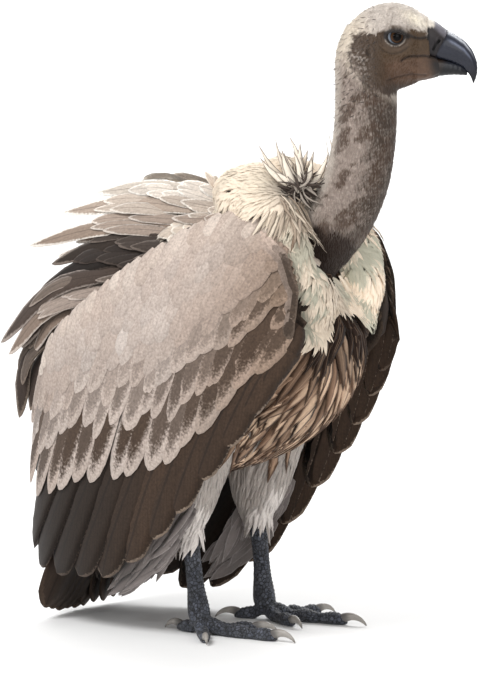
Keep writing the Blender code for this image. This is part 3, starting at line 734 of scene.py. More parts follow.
SMALL_CONTOUR = VaneShape(6, LENS, ROUND_TIP, 0.0006, 0.12, 1.7)
LANCE = VaneShape(6, LENS, POINTED, 0.0007, 0.2)
COVERT = VaneShape(8, BROAD, ROUND_TIP, 0.0008, 0.14, 1.9)
QUILL = VaneShape(14, BROAD, LONG_TIP, 0.0016, 0.1, 2.2)
PLUME_TIP = ((0, 0.15), (0.2, 0.7), (0.5, 1.0), (0.78, 0.9), (0.92, 0.55), (0.98, 0.28), (1, 0.06))
PLUME = VaneShape(12, BROAD, PLUME_TIP, 0.001, 0.08, 1.5)
DOWN_TUFT = VaneShape(4, TUFT, WISP, 0.0006, 0.0)
BRISTLE = VaneShape(3, TUFT, WISP, 0.0003, 0.0)


PARTS = ("line", "out", "half", "centre", "edge", "chart", "patch")


@dataclass
class Feathers:
    """Many feathers of one shape, before they become one mesh."""

    shape: VaneShape
    line: Array
    out: Array
    half: Array
    centre: Array
    edge: Array
    chart: Array
    patch: Array

    def __post_init__(self) -> None:
        """Gives every feather its own row of what is the same for all."""
        count = len(self.line)
        self.half = np.broadcast_to(self.half, count)
        self.edge = np.broadcast_to(self.edge, (count, 3))
        self.patch = np.broadcast_to(self.patch, (count, 2))

    def joined(self, *others: "Feathers") -> "Feathers":
        """These feathers with others of the same shape."""
        every = (self, *others)
        return Feathers(self.shape, *(np.concatenate([getattr(f, n) for f in every]) for n in PARTS))

    def kept(self, mask: Array) -> "Feathers":
        """Those of these feathers that a mask picks."""
        return Feathers(self.shape, *(getattr(self, n)[mask] for n in PARTS))

    def mesh(self, name: str, soft: float = 0.0) -> Mesh:
        """Makes one closed vane for each feather, with its tints and charts.

        Args:
            name: The mesh's name.
            soft: How far its shading follows the body below, as loose down does.

        Returns:
            The mesh, with point colours centre and edge and UV maps vane and OFBake.
        """
        count, steps = self.line.shape[:2]
        wide, tall = np.array(self.shape.section).T
        around = len(wide)
        each = steps * around
        ahead = unit(np.gradient(self.line, axis=1))
        side = unit(np.cross(ahead, self.out))
        half = (self.half[:, None] * self.shape.widths())[..., None]
        thick = self.shape.thickness * (1 - 0.6 * self.shape.shares())
        rise = tall * thick[None, :, None] + self.shape.camber * (1 - wide**2) * half
        points = self.line[:, :, None] + side[:, :, None] * (wide * half)[..., None]
        points = points + np.cross(side, ahead)[:, :, None] * rise[..., None]
        ring = np.arange(around)
        after = (ring + 1) % around
        base = np.arange(steps - 1)[:, None] * around
        quads = np.stack([base + ring, base + after, base + around + after, base + around + ring], axis=-1)
        start = np.arange(count)[:, None] * each
        ends = (ring[::-1][None] + start, ring[None] + each - around + start)
        corners = np.concatenate([(quads.reshape(1, -1) + start).ravel(), *(end.ravel() for end in ends)])
        walls = count * (steps - 1) * around
        sizes = np.concatenate([np.full(walls, 4), np.full(2 * count, around)])
        mesh = bpy.data.meshes.new(name)
        mesh.vertices.add(count * each)
        put(mesh.vertices, "co", points)
        mesh.loops.add(len(corners))
        mesh.polygons.add(len(sizes))
        put(mesh.polygons, "loop_start", np.cumsum(sizes) - sizes, np.int32)
        put(mesh.loops, "vertex_index", corners, np.int32)
        mesh.update(calc_edges=True)
        paint(mesh, "centre", np.repeat(self.centre, each, axis=0))
        paint(mesh, "edge", np.repeat(self.edge, each, axis=0))
        own = np.stack([np.tile(wide / 2 + 0.5, steps), np.repeat(self.shape.shares(), around)], axis=-1)
        patches = self.chart[:, None] + (own[None] - 0.5) * self.patch[:, None]
        charts = {"vane": np.tile(own, (count, 1)), "OFBake": np.clip(patches, 0.001, 0.999).reshape(-1, 2)}
        for chart, places in charts.items():
            put(mesh.uv_layers.new(name=chart).data, "uv", places[corners])
        with edited(mesh) as bm:
            bmesh.ops.recalc_face_normals(bm, faces=bm.faces)
        if soft:
            self.soften(mesh, np.repeat(self.out.reshape(-1, 3), around, axis=0), soft)
        return mesh

    @staticmethod
    def soften(mesh: Mesh, out: Array, soft: float) -> None:
        """Turns the shading towards the body's own, on each vane's upper and lower face alike."""
        index = got(mesh.loops, "vertex_index", 1, np.int32)[:, 0]
        sizes = got(mesh.polygons, "loop_total", 1, np.int32)[:, 0]
        flat = np.repeat(got(mesh.polygons, "normal"), sizes, axis=0)
        out = out[index]
        above = ((flat * out).sum(axis=1) > 0)[:, None]
        ways = out * soft + vertex_array(mesh, "normal")[index] * (1 - soft)
        mesh.normals_split_custom_set(unit(np.where(above, ways, flat - out * soft)).tolist())

    def place(self, name: str, soft: float, finish: Finish, slot: str, *nodes: str) -> None:
        """Puts the feathers in the scene as one piece, over the solids it stands for."""
        finish_piece(name, self.mesh(name, soft), finish, slot, *nodes)


def columns(rows: Sequence[tuple]) -> Iterator[Array]:
    """The columns of rows of values, each as an array."""
    return (np.array(column) for column in zip(*rows))


class Region(IntEnum):
    """The kinds of place on the skin, each with its own coat."""

    HEAD = 0
    NECK = 1
    TRUNK = 2
    MANTLE = 3
    RUFF = 4
    WING = 5
    THIGH = 6
    SHANK = 7
    TOE = 8
    CRISSUM = 9


@dataclass
class Roots:
    """Places on the skin where feathers grow."""

    at: Array
    out: Array
    region: Array


# ---- skin
GAPE = ((6.5, -25.0), (9.5, -22.6), (15.2, -20.5), (31.0, -20.6), (37.0, -22.0))
JAW = ((-8.0, -45.0), (2.0, -42.5), (16.0, -39.5), (32.0, -41.0))
CHEEK = ((-47.9, -16.4), (-44.6, -33.5), (-36.0, -43.0), (-28.9, -49.2), (-24.0, -57.0), (-16.0, -61.5))
NAPE_FOLD = ((-51.0, -43.0), (-46.0, -48.5), (-41.5, -51.5))
BROW = ((-13.0, 7.0), (-4.0, 10.6), (6.0, 11.2), (16.0, 8.6), (25.0, 4.0), (31.0, 2.5))
HOOD = ((-9.0, 5.6), (-3.0, 8.2), (4.0, 7.8), (10.5, 4.2))
FROWN = ((-10.0, 4.0), (-3.0, 8.0), (5.0, 7.6), (12.5, 2.2), (20.0, -1.2), (27.0, -2.4), (33.0, -1.2))
BAG = ((-19.5, -3.0), (-17.0, -9.5), (-11.0, -14.5), (-3.0, -17.0), (6.0, -15.5), (14.0, -10.0))
TEAR = ((-4.0, -20.5), (2.0, -16.5))


def toe_rows(word: str, side: int, toe: str) -> tuple[Array, Array, Array]:
    """A toe's middle line and half sizes: out and down onto the floor, swelling at each pad."""
    angle, length, radius, _, pads = TOES[toe]
    yaw = math.radians(FOOT_YAW[word]) + math.radians(angle) * side
    heading = np.array((math.cos(yaw), math.sin(yaw), 0))
    start = ANKLE * (1, side, 1)
    t = np.linspace(0, 1, 34)
    pad = 0.5 - 0.5 * np.cos(2 * math.pi * pads * t)
    size = radius * (1.0 - 0.22 * t) * (0.76 + 0.26 * pad)
    size = size * np.sqrt(np.maximum(1 - (np.maximum(0, t - 0.93) / 0.08) ** 2, 0.06))
    rise = size - 0.0006 * pad
    line = start + heading * (length * t)[:, None]
    line[:, 2] = np.maximum(rise, start[2] + (rise - start[2]) * np.minimum(1, 3 * t))
    return line, size, heading


@dataclass
class Skin:
    """The one skin of the bird, inside its feathers by the depth of the coat."""

    voxel: float = 0.00135
    head_inset: float = 0.0006
    neck_inset: float = 0.0016
    body_inset: float = 0.01
    ruff_inset: float = 0.013
    thigh_inset: float = 0.007
    arm_depth: tuple[float, float] = (0.009, 0.019)
    # Folds of the face: line, its move along and up in mm, height in mm and width in mm.
    folds: tuple[tuple[Sequence, tuple[float, float], float, float], ...] = (
        (HOOD, (0, -0.5), 4.6, 2.2), (BROW, (0, 0), 2.4, 3.0), (FROWN[3:], (0, 0), -1.7, 1.6),
        (BAG, (0, -1.6), 0.9, 1.7), (BAG, (0, 0.6), -0.9, 1.0), (TEAR, (0, 0), -0.7, 0.9),
        (GAPE, (0, 0), -2.0, 1.2), (GAPE, (0, 2.6), 0.8, 1.8), (JAW, (0, 0), -1.1, 1.5),
        (CHEEK, (0, 0), -1.6, 1.6), (CHEEK, (-3.0, -2.0), 1.5, 3.2), (NAPE_FOLD, (0, 0), -1.0, 1.3),
    )
    mesh: Mesh = field(init=False)
    bvh: BVHTree = field(init=False)
    # Places, ways out and regions of its points; corners, middles and regions of its faces.
    points: Array = field(init=False)
    normals: Array = field(init=False)
    region: Array = field(init=False)
    faces: Array = field(init=False)
    middle: Array = field(init=False)
    kind: Array = field(init=False)

    def cores(self) -> list[tuple[Region, list[Array]]]:
        """The flesh forms that fuse into one skin."""
        rings = station_rings(HEAD, 26, 40, (2.2, 2.1), self.head_inset / MM)
        head = [[self.face_width(point) for point in ring] for ring in rings]
        made = [
            (Region.HEAD, [from_head(np.array(ring)) for ring in head]),
            (Region.HEAD, [from_head(ring) for ring in station_rings(CHIN, 18, 36, (4.0, 2.1))]),
            (Region.NECK, tube_rings(NECK, 30, 32, self.neck_inset)),
            (Region.TRUNK, station_rings(TRUNK, 24, 40, (2.3, 2.2), self.body_inset)),
            (Region.MANTLE, station_rings(MANTLE, 20, 40, (1.25, 2.2), self.body_inset)),
            (Region.CRISSUM, station_rings(CRISSUM, 16, 28, (2.2, 2.2), self.thigh_inset)),
        ]
        for word, side in SIDES.items():
            made.append((Region.RUFF, tube_rings(mirrored(RUFF, side), 24, 28, self.ruff_inset)))
            made.append((Region.THIGH, tube_rings(mirrored(THIGH, side), 20, 28, self.thigh_inset)))
            made.append((Region.SHANK, tube_rings(mirrored(SHANK, side), 24, 24)))
            made.append((Region.WING, self.arm_rings(side)))
            made += [(Region.TOE, self.toe_rings(word, side, toe)) for toe in TOES]
        return made

    @staticmethod
    def face_width(point: Array) -> Array:
        """Draws a point of the face in round the eye and out under the brow."""
        a, b, c = point
        aside = max(-1.0, min(b / 12.0, 1.0))
        hollow = -4.6 * math.exp(-((a / 13) ** 2) - ((c + 0.5) / 11) ** 2)
        brow = 2.4 * math.exp(-(((a - 4) / 14) ** 2) - ((c - 11.5) / 4.5) ** 2)
        return np.array((a, b + aside * (hollow + brow), c))

    def arm_rings(self, side: int) -> list[Array]:
        """The folded arm under the coverts, as a slab of the wing's own surface."""
        share = np.linspace(0.03, 0.97, 44)
        outer, inner = self.arm_depth
        full = (inner - outer) * np.minimum(1, 0.3 + 6 * np.minimum(share - 0.03, 0.97 - share))
        rings = []
        for t in np.linspace(0.05, 0.9, 16):
            walls = [wing_place(share, t * covert_end(share), depth, side) for depth in (outer, outer + full)]
            rings.append(np.concatenate([walls[0], walls[1][::-1]]))
        return rings

    @staticmethod
    def toe_rings(word: str, side: int, toe: str) -> list[Array]:
        """Rings round a toe, with a fold across the top at each joint."""
        line, size, heading = toe_rows(word, side, toe)
        across, up = np.array((-heading[1], heading[0], 0.0)), np.array((0, 0, 1.0))
        return [oval(p, across * s, up * s, 18, (2, 2.3)) for p, s in zip(line, size)]

    def build(self) -> None:
        """Fuses the flesh, sculpts face and feet, and thins the mesh where feathers hide it."""
        cores = self.cores()
        helper = shown("skin_helper", lofted("skin", [rings for _, rings in cores]))
        fuse = helper.modifiers.new("fuse", "REMESH")
        fuse.mode, fuse.voxel_size = "VOXEL", self.voxel
        mesh = self.applied(helper)
        every_way = {"use_axis_x": True, "use_axis_y": True, "use_axis_z": True}
        with edited(mesh) as bm:
            for _ in range(5):
                bmesh.ops.smooth_vert(bm, verts=bm.verts, factor=0.5, **every_way)
        points = vertex_array(mesh)
        points = points + vertex_array(mesh, "normal") * (self.sculpt(points) * MM)[:, None]
        points[:, 2] = np.maximum(points[:, 2], 0.00005)
        put(mesh.vertices, "co", points)
        mesh.update()
        self.thin(helper, points)
        self.mesh = mesh = self.applied(helper)
        bpy.data.objects.remove(helper)
        mesh.name = "skin"
        self.points, self.normals = vertex_array(mesh), vertex_array(mesh, "normal")
        mesh.calc_loop_triangles()
        self.faces = got(mesh.loop_triangles, "vertices", 3, np.int32)
        self.bvh = BVHTree.FromPolygons(self.points.tolist(), self.faces.tolist())
        marks = [np.concatenate(rings) for _, rings in cores]
        labels = np.repeat([region for region, _ in cores], [len(mark) for mark in marks])
        self.region = labels[nearest_index(np.concatenate(marks), self.points)]
        self.middle = self.points[self.faces].mean(axis=1)
        self.kind = self.region[self.faces[:, 0]]

    @staticmethod
    def applied(helper: bpy.types.Object) -> Mesh:
        """The helper's mesh as its modifiers leave it, put back on it."""
        graph = bpy.context.evaluated_depsgraph_get()
        graph.update()
        mesh = bpy.data.meshes.new_from_object(helper.evaluated_get(graph))
        helper.modifiers.clear()
        helper.data = mesh
        return mesh

    @staticmethod
    def thin(helper: bpy.types.Object, points: Array) -> None:
        """Keeps face, neck and feet fine, and makes the hidden body coarse."""
        face = smooth(far(to_head(points), (0, 0, -12)), 62, 85)
        neck = smooth(points[:, 2] - 0.4 * (0.16 - points[:, 0]), 0.46, 0.43)
        coarse = np.minimum(np.minimum(face, smooth(points[:, 2], 0.12, 0.15)), 0.45 + 0.55 * neck)
        group = helper.vertex_groups.new(name="coarse")
        steps = np.round(coarse * 8).astype(int)
        for step in np.unique(steps).tolist():
            group.add(np.nonzero(steps == step)[0].tolist(), step / 8, "REPLACE")
        thin = helper.modifiers.new("thin", "DECIMATE")
        thin.ratio, thin.vertex_group, thin.vertex_group_factor = 0.195, group.name, 6.0

    def sculpt(self, points: Array) -> Array:
        """Relief of the face, neck, collar and feet at each point, in mm outwards."""
        relief = np.zeros(len(points))
        head = to_head(points)
        near = far(head, (0, 0, -15)) < 75
        a, b, c = head[near].T
        lid = lid_ring(a, c)
        rise = 1.9 * bell(lid - 1.06, 0.13) - 0.9 * bell(lid - 1.36, 0.11)
        for line, (along, up), height, width in self.folds:
            rise += height * bell(near_line(a + along, c + up, line), width)
        rise += 1.2 * bell(np.hypot((a - 12) / 16, (c + 32) / 6), 1)
        ear = np.hypot((a + 27) / 3.2, (c + 15.5) / 4.4)
        rise += 0.9 * bell(ear - 1.35, 0.35) - 2.4 * bell(ear, 1)
        crown = 0.28 * lumps(points[near], 0.006, 3) + 0.16 * lumps(points[near], 0.0028, 5, 2)
        relief[near] = rise * smooth(np.abs(b), 5, 11) + crown * smooth(lid, 1.1, 1.6)
        # Rings of loose skin round the neck.
        neck = (~near) & (points[:, 2] > 0.43) & (points[:, 0] > 0.08)
        creased = 0.35 * lumps(points[neck] * (1, 1, 2.6), 0.014, 8)
        relief[neck] = creased + 0.3 * lumps(points[neck], 0.005, 9, 2)
        # Soft swellings under the collar.
        folded = np.abs(points)
        away = [far(folded, np.abs(place)) for place in through(RUFF, 16)[:, :3]]
        aside = smooth(folded[:, 1], 0.06, 0.078)
        swell = 3.6 * lumps(points, 0.052, 12, 1) * (1 - aside) - 3.5 * aside
        relief += swell * (1 - smooth(np.min(away, axis=0), 0.034, 0.046))
        # Cross plates on the shins and over each toe.
        foot = np.nonzero(points[:, 2] < 0.13)[0]
        low = points[foot]
        x, _, z = low.T
        shin = np.sin(z / 0.0042 * 2 * math.pi) * smooth(z, 0.018, 0.03) * (1 - smooth(z, 0.1, 0.12))
        relief[foot] = 0.3 * shin * smooth(x, -0.016, -0.006) + 0.12 * lumps(low, 0.003, 4, 2)
        for word, side in SIDES.items():
            for toe, (_, length, *_) in TOES.items():
                line, _, heading = toe_rows(word, side, toe)
                along = (low - line[0]) @ heading
                off = np.abs((low - line[0]) @ np.array((-heading[1], heading[0], 0.0)))
                on = (off < 0.009) & (along > 0.012) & (along < length - 0.006)
                plates = np.abs(np.sin(along / 0.0046 * math.pi)) ** 0.6 - 0.6
                relief[foot[on]] += (1.1 * plates * smooth(z, 0.006, 0.011))[on]
        return relief

    def nearest(self, places: Array) -> Pair:
        """The nearest skin to each place, and the way out there."""
        found = [self.bvh.find_nearest(place)[:2] for place in places]
        return tuple(columns(found))

    def scatter(self, allowed: Array, spacing: float, seed: int) -> Roots:
        """Spreads roots over part of the skin, no two nearer than the spacing.

        Args:
            allowed: Whether feathers of this kind grow on each face.
            spacing: The distance between roots, in metres.
            seed: Seed of the spread.

        Returns:
            The roots, each with its way out and its region.
        """
        draw = np.random.default_rng(seed)
        corners = self.points[self.faces]
        sides = corners[:, 1:] - corners[:, :1]
        area = np.linalg.norm(np.cross(sides[:, 0], sides[:, 1]), axis=1) / 2 * allowed
        tries = int(area.sum() / spacing**2 * 3.2) + 1
        chosen = draw.choice(len(area), tries, p=area / area.sum())
        r1, r2 = np.sqrt(draw.random(tries)), draw.random(tries)
        weight = np.stack([1 - r1, r1 * (1 - r2), r1 * r2], axis=-1)[..., None]
        places = (corners[chosen] * weight).sum(axis=1)
        cells: dict[tuple[int, int, int], list[int]] = {}
        good = []
        for k, (x, y, z) in enumerate(np.floor(places / (spacing * 0.9)).astype(int).tolist()):
            held = (cells.get((x + i, y + j, z + h), ()) for i, j, h in NEIGHBOURS)
            gaps = (places[other] - places[k] for cell in held for other in cell)
            if all(gap @ gap >= spacing * spacing * 0.72 for gap in gaps):
                cells.setdefault((x, y, z), []).append(k)
                good.append(k)
        normal = self.normals[self.faces[chosen[good]]].mean(axis=1)
        return Roots(places[good], unit(normal), self.kind[chosen[good]])

    def lay(self, roots: Roots, flow: Array, length: Array, shares: Array, lift: tuple[float, float]) -> Pair:
        """Lays feathers over the skin from their roots, along the lie of the plumage.

        Args:
            roots: Where they grow.
            flow: The lie at each root.
            length: Each feather's length.
            shares: Share of the way along at each of a feather's points.
            lift: How far the root and the tip stand off the skin.

        Returns:
            The middle line of each feather and the way out at each of its points.
        """
        here, out = roots.at, roots.out
        line, ways = [here + out * lift[0]], [out]
        for before, share in zip(shares, shares[1:]):
            step = (length * (share - before))[:, None]
            target = here + unit(flow - (flow * out).sum(axis=1, keepdims=True) * out) * step
            at, way = self.nearest(target)
            gone = np.linalg.norm(target - at, axis=1, keepdims=True) > 0.5 * step
            here, out = np.where(gone, target, at), np.where(gone, out, unit(way + out))
            line.append(here + out * (lift[0] * (1 - share) + lift[1] * share))
            ways.append(out)
        return np.stack(line, axis=1), np.stack(ways, axis=1)


# ---- markings
def crop_share(points: Array) -> Array:
    """How far each place belongs to the bare dark crop between the collar's halves."""
    away = far(points, (0.125, -0.022, 0.405)) + 0.005 * lumps(points, 0.014, 43)
    low = smooth(0.44 - points[:, 2] + 0.006 * lumps(points, 0.016, 44), 0, 0.008)
    return (1 - smooth(away, 0.032, 0.038)) * low


@dataclass(frozen=True)
class Markings:
    """The bird's colours, the same on its skin and on the coat over it, with some painted light and shade
    among them.
    """

    nape: str = "#CDC1B1"
    crown: str = "#BBB1A8"
    # Painted highlight of the forehead.
    forehead_highlight: str = "#F4EAD8"
    face: str = "#44321F"
    jaw: str = "#563F2F"
    ear: str = "#46382D"
    lid: str = "#1E1714"
    # Painted highlight on the lower lid's rim.
    lid_rim_highlight: str = "#A0958B"
    neck: str = "#8C7E75"
    neck_patch: str = "#4F3E33"
    neck_front: str = "#473A31"
    neck_back: str = "#C4BAAF"
    crop: str = "#2A1C14"
    belly: str = "#74593F"
    down: str = "#E2D2BE"
    # The collar's down in painted shade.
    down_painted_shade: str = "#A6A695"
    # The down darkened as painted shade in the hollow where the neck enters the collar.
    down_hollow_shade: str = "#6E655E"
    mantle: str = "#D8CCBF"
    thigh: str = "#8B8380"
    scale: str = "#3C3E44"
    wing: str = "#3A2F28"

    def face_share(self, points: Array) -> Array:
        """How far each place belongs to the brown of the face."""
        a, b, c = to_head(points).T
        ragged = 3.5 * lumps(points, 0.016, 21) + 1.6 * lumps(points, 0.004, 22)
        reach = (-48, -44, -30, -20, -8, 0, 12, 20, 30, 36)
        top = np.interp(a, reach, (0, 4.5, 6.5, 3.5, 6, 9, 9, 7, 3, 1))
        back = np.interp(c, (-60, -49, -33, -16, 4), (-25, -30, -45, -48, -45))
        under = np.interp(a, (-60, -20, -5, 34), (-52, -56, -62, -64))
        inside = np.minimum(np.minimum(top - c, a - back), c - under) + ragged
        return smooth(inside, -2.5, 2.5) * smooth(np.abs(b) + 8 * smooth(-c, 12, 24), 6, 12)

    def head_tint(self, points: Array) -> Array:
        """Colours of the head: pale crown and nape, brown face, warm jaw, dark round the eye, a painted
        highlight on the forehead and the lower lid's rim, and painted shade in the face's creases.
        """
        a, b, c = to_head(points).T
        # Painted highlight across the forehead, where light falls on the top of the head.
        light = np.exp(-(((a - 22) / 13) ** 2) - ((c - 17 + 0.5 * (a - 22)) / 6) ** 2)
        pale = smooth(lumps(points, 0.0035, 33, 2), 0.1, 0.8) * smooth(-a, 20, 36) * smooth(-c, 8, 20)
        face = coated(
            mixed(self.face, self.jaw, smooth(-c + 0.1 * a, 17, 30) * smooth(a, -22, 2)),
            (self.ear, smooth(-a, 8, 26)),
            (self.crown, 0.5 * pale),
            (self.neck_front, smooth(-c, 42, 54)),
            ("#1D1817", smooth(a + 0.3 * c, 20, 34) * smooth(-c, 16, 30)),
        )
        lid = lid_ring(a, c)
        side = smooth(np.abs(b), 8, 13)
        corner = near_line(a, c, ((7.0, 1.0), (13.5, -0.8)))
        shut = np.maximum(1 - smooth(lid + 0.12 * smooth(-c, 0, 6), 1.18, 1.42), 1 - smooth(corner, 1.2, 2.6))
        # Painted highlight along the lower lid's rim.
        rim = bell(lid - 1.13, 0.06) * smooth(-c, 1, 5)
        # Painted shade: dark lines in the creases of the gape, cheek and jaw, along the fold under the eye
        # and under the brow's frown.
        folds = ((GAPE, 0, 0), (CHEEK, 0, 0.5), (JAW, 0, 0.4), (BAG, 0.6, 0.7))
        lines = np.min([near_line(a, c + up, line) + faint for line, up, faint in folds], axis=0)
        return coated(
            mixed(self.crown, self.nape, smooth(-a - 0.35 * c, 12, 42)),
            (self.forehead_highlight, 0.9 * light),
            (self.face, 0.22 * smooth(lumps(points, 0.009, 31), 0.1, 0.8)),
            (face, self.face_share(points)),
            (self.ear, 0.6 * side * bell(lid - 1.5, 0.3)),
            (self.lid, side * shut),
            (self.lid_rim_highlight, 0.8 * side * rim),
            (self.lid, 0.85 * side * bell(lines, 1.1)),
            (self.lid, 0.95 * side * bell(near_line(a, c, FROWN), 1.5)),
        )

    def neck_tint(self, points: Array) -> Array:
        """Colours of the neck: pale behind, dark in front, with brown blotches between."""
        path = through(NECK, 60)[:, :3]
        middle = path[np.abs(points[:, 2:3] - path[None, :, 2]).argmin(axis=1)]
        front = unit((points - middle) * (1, 1, 0.3)) @ unit(np.array((0.93, 0.3, -0.1)))
        rise = smooth(points[:, 2], 0.49, 0.57)
        ragged = front + 0.22 * lumps(points, 0.004, 43, 2) + 0.25 * lumps(points, 0.02, 44)
        blotch = smooth(lumps(points * (1, 1, 1.5), 0.034, 41), 0.08, 0.4)
        return coated(
            mixed(self.neck, self.neck_front, smooth(ragged, 0.25 - 0.45 * rise, 0.85 - 0.4 * rise)),
            (self.neck_back, 0.9 * smooth(-front, 0.45, 0.92)),
            (self.neck_patch, 0.88 * blotch * (1 - 0.7 * smooth(-front, 0.5, 0.9))),
            (self.neck_back, 0.22 * smooth(lumps(points, 0.0045, 42, 2), 0.2, 0.7)),
        )

    def skin_tint(self, points: Array, region: Array) -> Array:
        """Colours of the whole skin."""
        # The collar's skin takes the down's colour in painted shade.
        names = {
            Region.TRUNK: self.belly, Region.MANTLE: self.mantle, Region.RUFF: self.down_painted_shade,
            Region.WING: self.wing, Region.THIGH: self.thigh, Region.SHANK: self.scale,
            Region.TOE: self.scale, Region.CRISSUM: self.crop,
        }
        x, y, z = points.T
        tint = self.neck_tint(points)
        for kind, code in names.items():
            tint[region == kind] = linear(code)
        head = region == Region.HEAD
        near = head | (region == Region.NECK)
        place = to_head(points[near])
        share = smooth(far(place, (0, 0, -12)), 66, 50)
        share = np.maximum(share, head[near] * smooth(place[:, 2], -50, -34))
        tint[near] = mixed(tint[near], self.head_tint(points[near]), share)
        # Painted shade: the skin darkens in the hollow where the neck enters the collar.
        heart = 1 - smooth(far(np.abs(points), (0.098, 0.036, 0.476)), 0.014, 0.03)
        tint = mixed(tint, self.crop, np.maximum(crop_share(points), heart))
        # Painted fill light: on the near side, skin in the gap between the wing's front edge and the collar,
        # and on the flank beside it, takes the collar's shaded down colour, lighter than the shadow that
        # falls there.
        flank_painted_fill = (region == Region.TRUNK) & (x > 0.1) & (np.abs(y) > 0.058)
        lining = (region == Region.WING) & (x > 0.07) & (z > 0.3) & (y < 0)
        lining &= np.abs(y) < cloak_out(x, z) - 0.011
        tint[lining | flank_painted_fill & (np.abs(z - 0.362) < 0.038)] = linear(self.down_painted_shade)
        scaly = (region == Region.SHANK) | (region == Region.TOE)
        warm = 0.5 + 0.5 * lumps(points[scaly], 0.02, 51)
        tint[scaly] = mixed(tint[scaly], "#2F333E", 0.6 * warm)
        return tint


MARKS = Markings()


# ---- skin piece
def make_skin() -> Skin:
    """Builds the skin and puts it in the scene."""
    skin = Skin()
    skin.build()
    paint(skin.mesh, "marking", MARKS.skin_tint(skin.points, skin.region))
    paint(skin.mesh, "scaly", np.isin(skin.region, (Region.SHANK, Region.TOE)).astype(float))
    flesh = ["trunk", "head", "neck_lower", "neck_middle", "neck_upper"]
    for word in SIDES:
        flesh += [f"thigh_{word}", f"shank_{word}"] + [f"toe_{word}_{toe}" for toe in TOES]
    finish_piece("skin", skin.mesh, SkinFinish(), "grey_skin", *flesh)
    return skin


# ---- bill, cere and eyes
@dataclass
class Bill:
    """The cere and the hooked bill, in two halves."""

    rings: int = 56
    around: int = 64
    nostril: tuple[tuple[float, float], ...] = ((40.3, -14.0), (43.0, -9.5), (46.2, -5.2))
    seam: tuple[tuple[float, float], ...] = ((55.2, 4.2), (50.5, -4.0), (44.0, -14.0), (40.8, -22.8))

    def part(
        self, names: tuple[str, str, str], stations: Sequence, squares: tuple[float, float],
        finish: Finish, carve: Callable,
    ) -> None:
        """Lofts one part, moves its surface by a relief in mm, paints it and puts it on the head.

        Args:
            names: The piece, the record's material slot and the solid that it replaces.
            stations: Its stations in the head frame.
            squares: Squareness of its section above and below.
            finish: Its finish.
            carve: Gives relief and tint at places in the head frame.
        """
        mesh = lofted(names[0], [station_rings(stations, self.rings, self.around, squares)])
        points = vertex_array(mesh)
        relief, tint = carve(*points.T)
        moved = points + vertex_array(mesh, "normal") * relief[:, None]
        put(mesh.vertices, "co", from_head(moved))
        mesh.update()
        paint(mesh, "marking", tint)
        finish_piece(names[0], mesh, finish, *names[1:])

    def cere(self, a: Array, b: Array, c: Array) -> Pair:
        """Relief and tint of the cere: a slit of a nostril with painted shade in it, painted light on its
        top, and the brow's pale down over its top, painted as a highlight.
        """
        slit = near_line(a, c, self.nostril)
        side = smooth(np.abs(b), 4, 8)
        swell = 0.8 * np.exp(-(((a - 42) / 7) ** 2) - ((c - 4) / 9) ** 2)
        relief = (0.6 * bell(slit - 2.3, 0.9) - 2.6 * bell(slit, 1.15)) * side + swell
        # The brow's pale down over the cere's top, painted as a highlight along its ridge.
        brow = smooth(c - 9.5 + 0.1 * (a - 31) + 0.5 * np.sin(2.1 * a), -1.0, 1.0) * smooth(a, 42.5, 39.0)
        # Painted light: lighter towards the top, with a lavender highlight on it; painted shade in the
        # nostril's slit.
        return relief - 0.7 * bell(a - 34.8, 1.1), coated(
            mixed("#221E20", "#3B3635", smooth(c + 0.35 * a, 6, 30)),
            ("#7D7A82", 0.7 * smooth(c + 0.9 * (a - 40), 5, 12) * (a < 54)),
            ("#090808", bell(slit, 1.5) * side),
            ("#121011", 0.8 * bell(a - 34.4, 1.2)),
            ("#DDD4C7", 0.9 * brow),
        )

    def upper(self, a: Array, b: Array, c: Array) -> Pair:
        """Relief and tint of the upper half: a painted highlight along its ridge and a painted sheen line
        below it, with a seam to the cere.
        """
        seam = near_line(a, c, self.seam)
        tomium = np.interp(a, (40, 52, 62, 72, 80), (-22.5, -25.0, -27.6, -32.0, -38.0))
        ledge = bell(c - tomium - 5.0, 1.5) * smooth(a, 44, 50) * smooth(a, 78, 68)
        culmen = 0.5 * bell(b, 2.5) * (c > -30)
        relief = culmen - 0.9 * bell(seam, 1.2) - 0.45 * ledge + 0.12 * np.sin(a * 1.9 + c * 0.7)
        down = c - np.interp(a, (53, 62, 72, 79, 84, 86), (4.9, 0, -7, -16, -26, -38))
        # Painted highlight: paler towards the ridge, a bright line along the culmen and a paler sheen line
        # lower on its side.
        return relief, coated(
            mixed("#23252F", "#9398A6", 0.35 * smooth(down, -5.5, -1.5) * smooth(a, 86, 70)),
            ("#D5D8DE", 0.8 * bell(down + 1.6, 0.9) * smooth(a, 84, 74)),
            ("#7A8092", 0.7 * bell(down + 8.5, 1.5) * smooth(a, 52, 60) * smooth(a, 82, 74)),
            ("#0E0E12", 0.85 * smooth(-c, 30, 47)),
            ("#121011", 0.85 * bell(seam, 1.4)),
        )

    @staticmethod
    def lower(a: Array, _: Array, c: Array) -> Pair:
        """Relief and tint of the lower half, browner towards the gape."""
        horn = mixed("#0E0F13", "#1C1E26", smooth(c + 0.3 * a, -20, -10))
        return 0.1 * np.sin(a * 1.3), mixed(horn, "#2A201A", smooth(a - 0.5 * (c + 30), 56, 44))

    def build(self) -> None:
        """Makes cere, upper and lower bill."""
        leather = HornFinish("cere_leather", 0.5, coat=0.05, streak_mm=2.4)
        horn = HornFinish("bill_horn", 0.32, coat=0.14)
        self.part(("cere_skin", "dark_cere", "cere"), CERE, (2.1, 4.0), leather, self.cere)
        self.part(("bill_upper_horn", "slate_horn", "bill_upper"), BILL_UPPER, (2.1, 3.6), horn, self.upper)
        self.part(("bill_lower_horn", "slate_horn", "bill_lower"), BILL_LOWER, (4.5, 2.1), horn, self.lower)


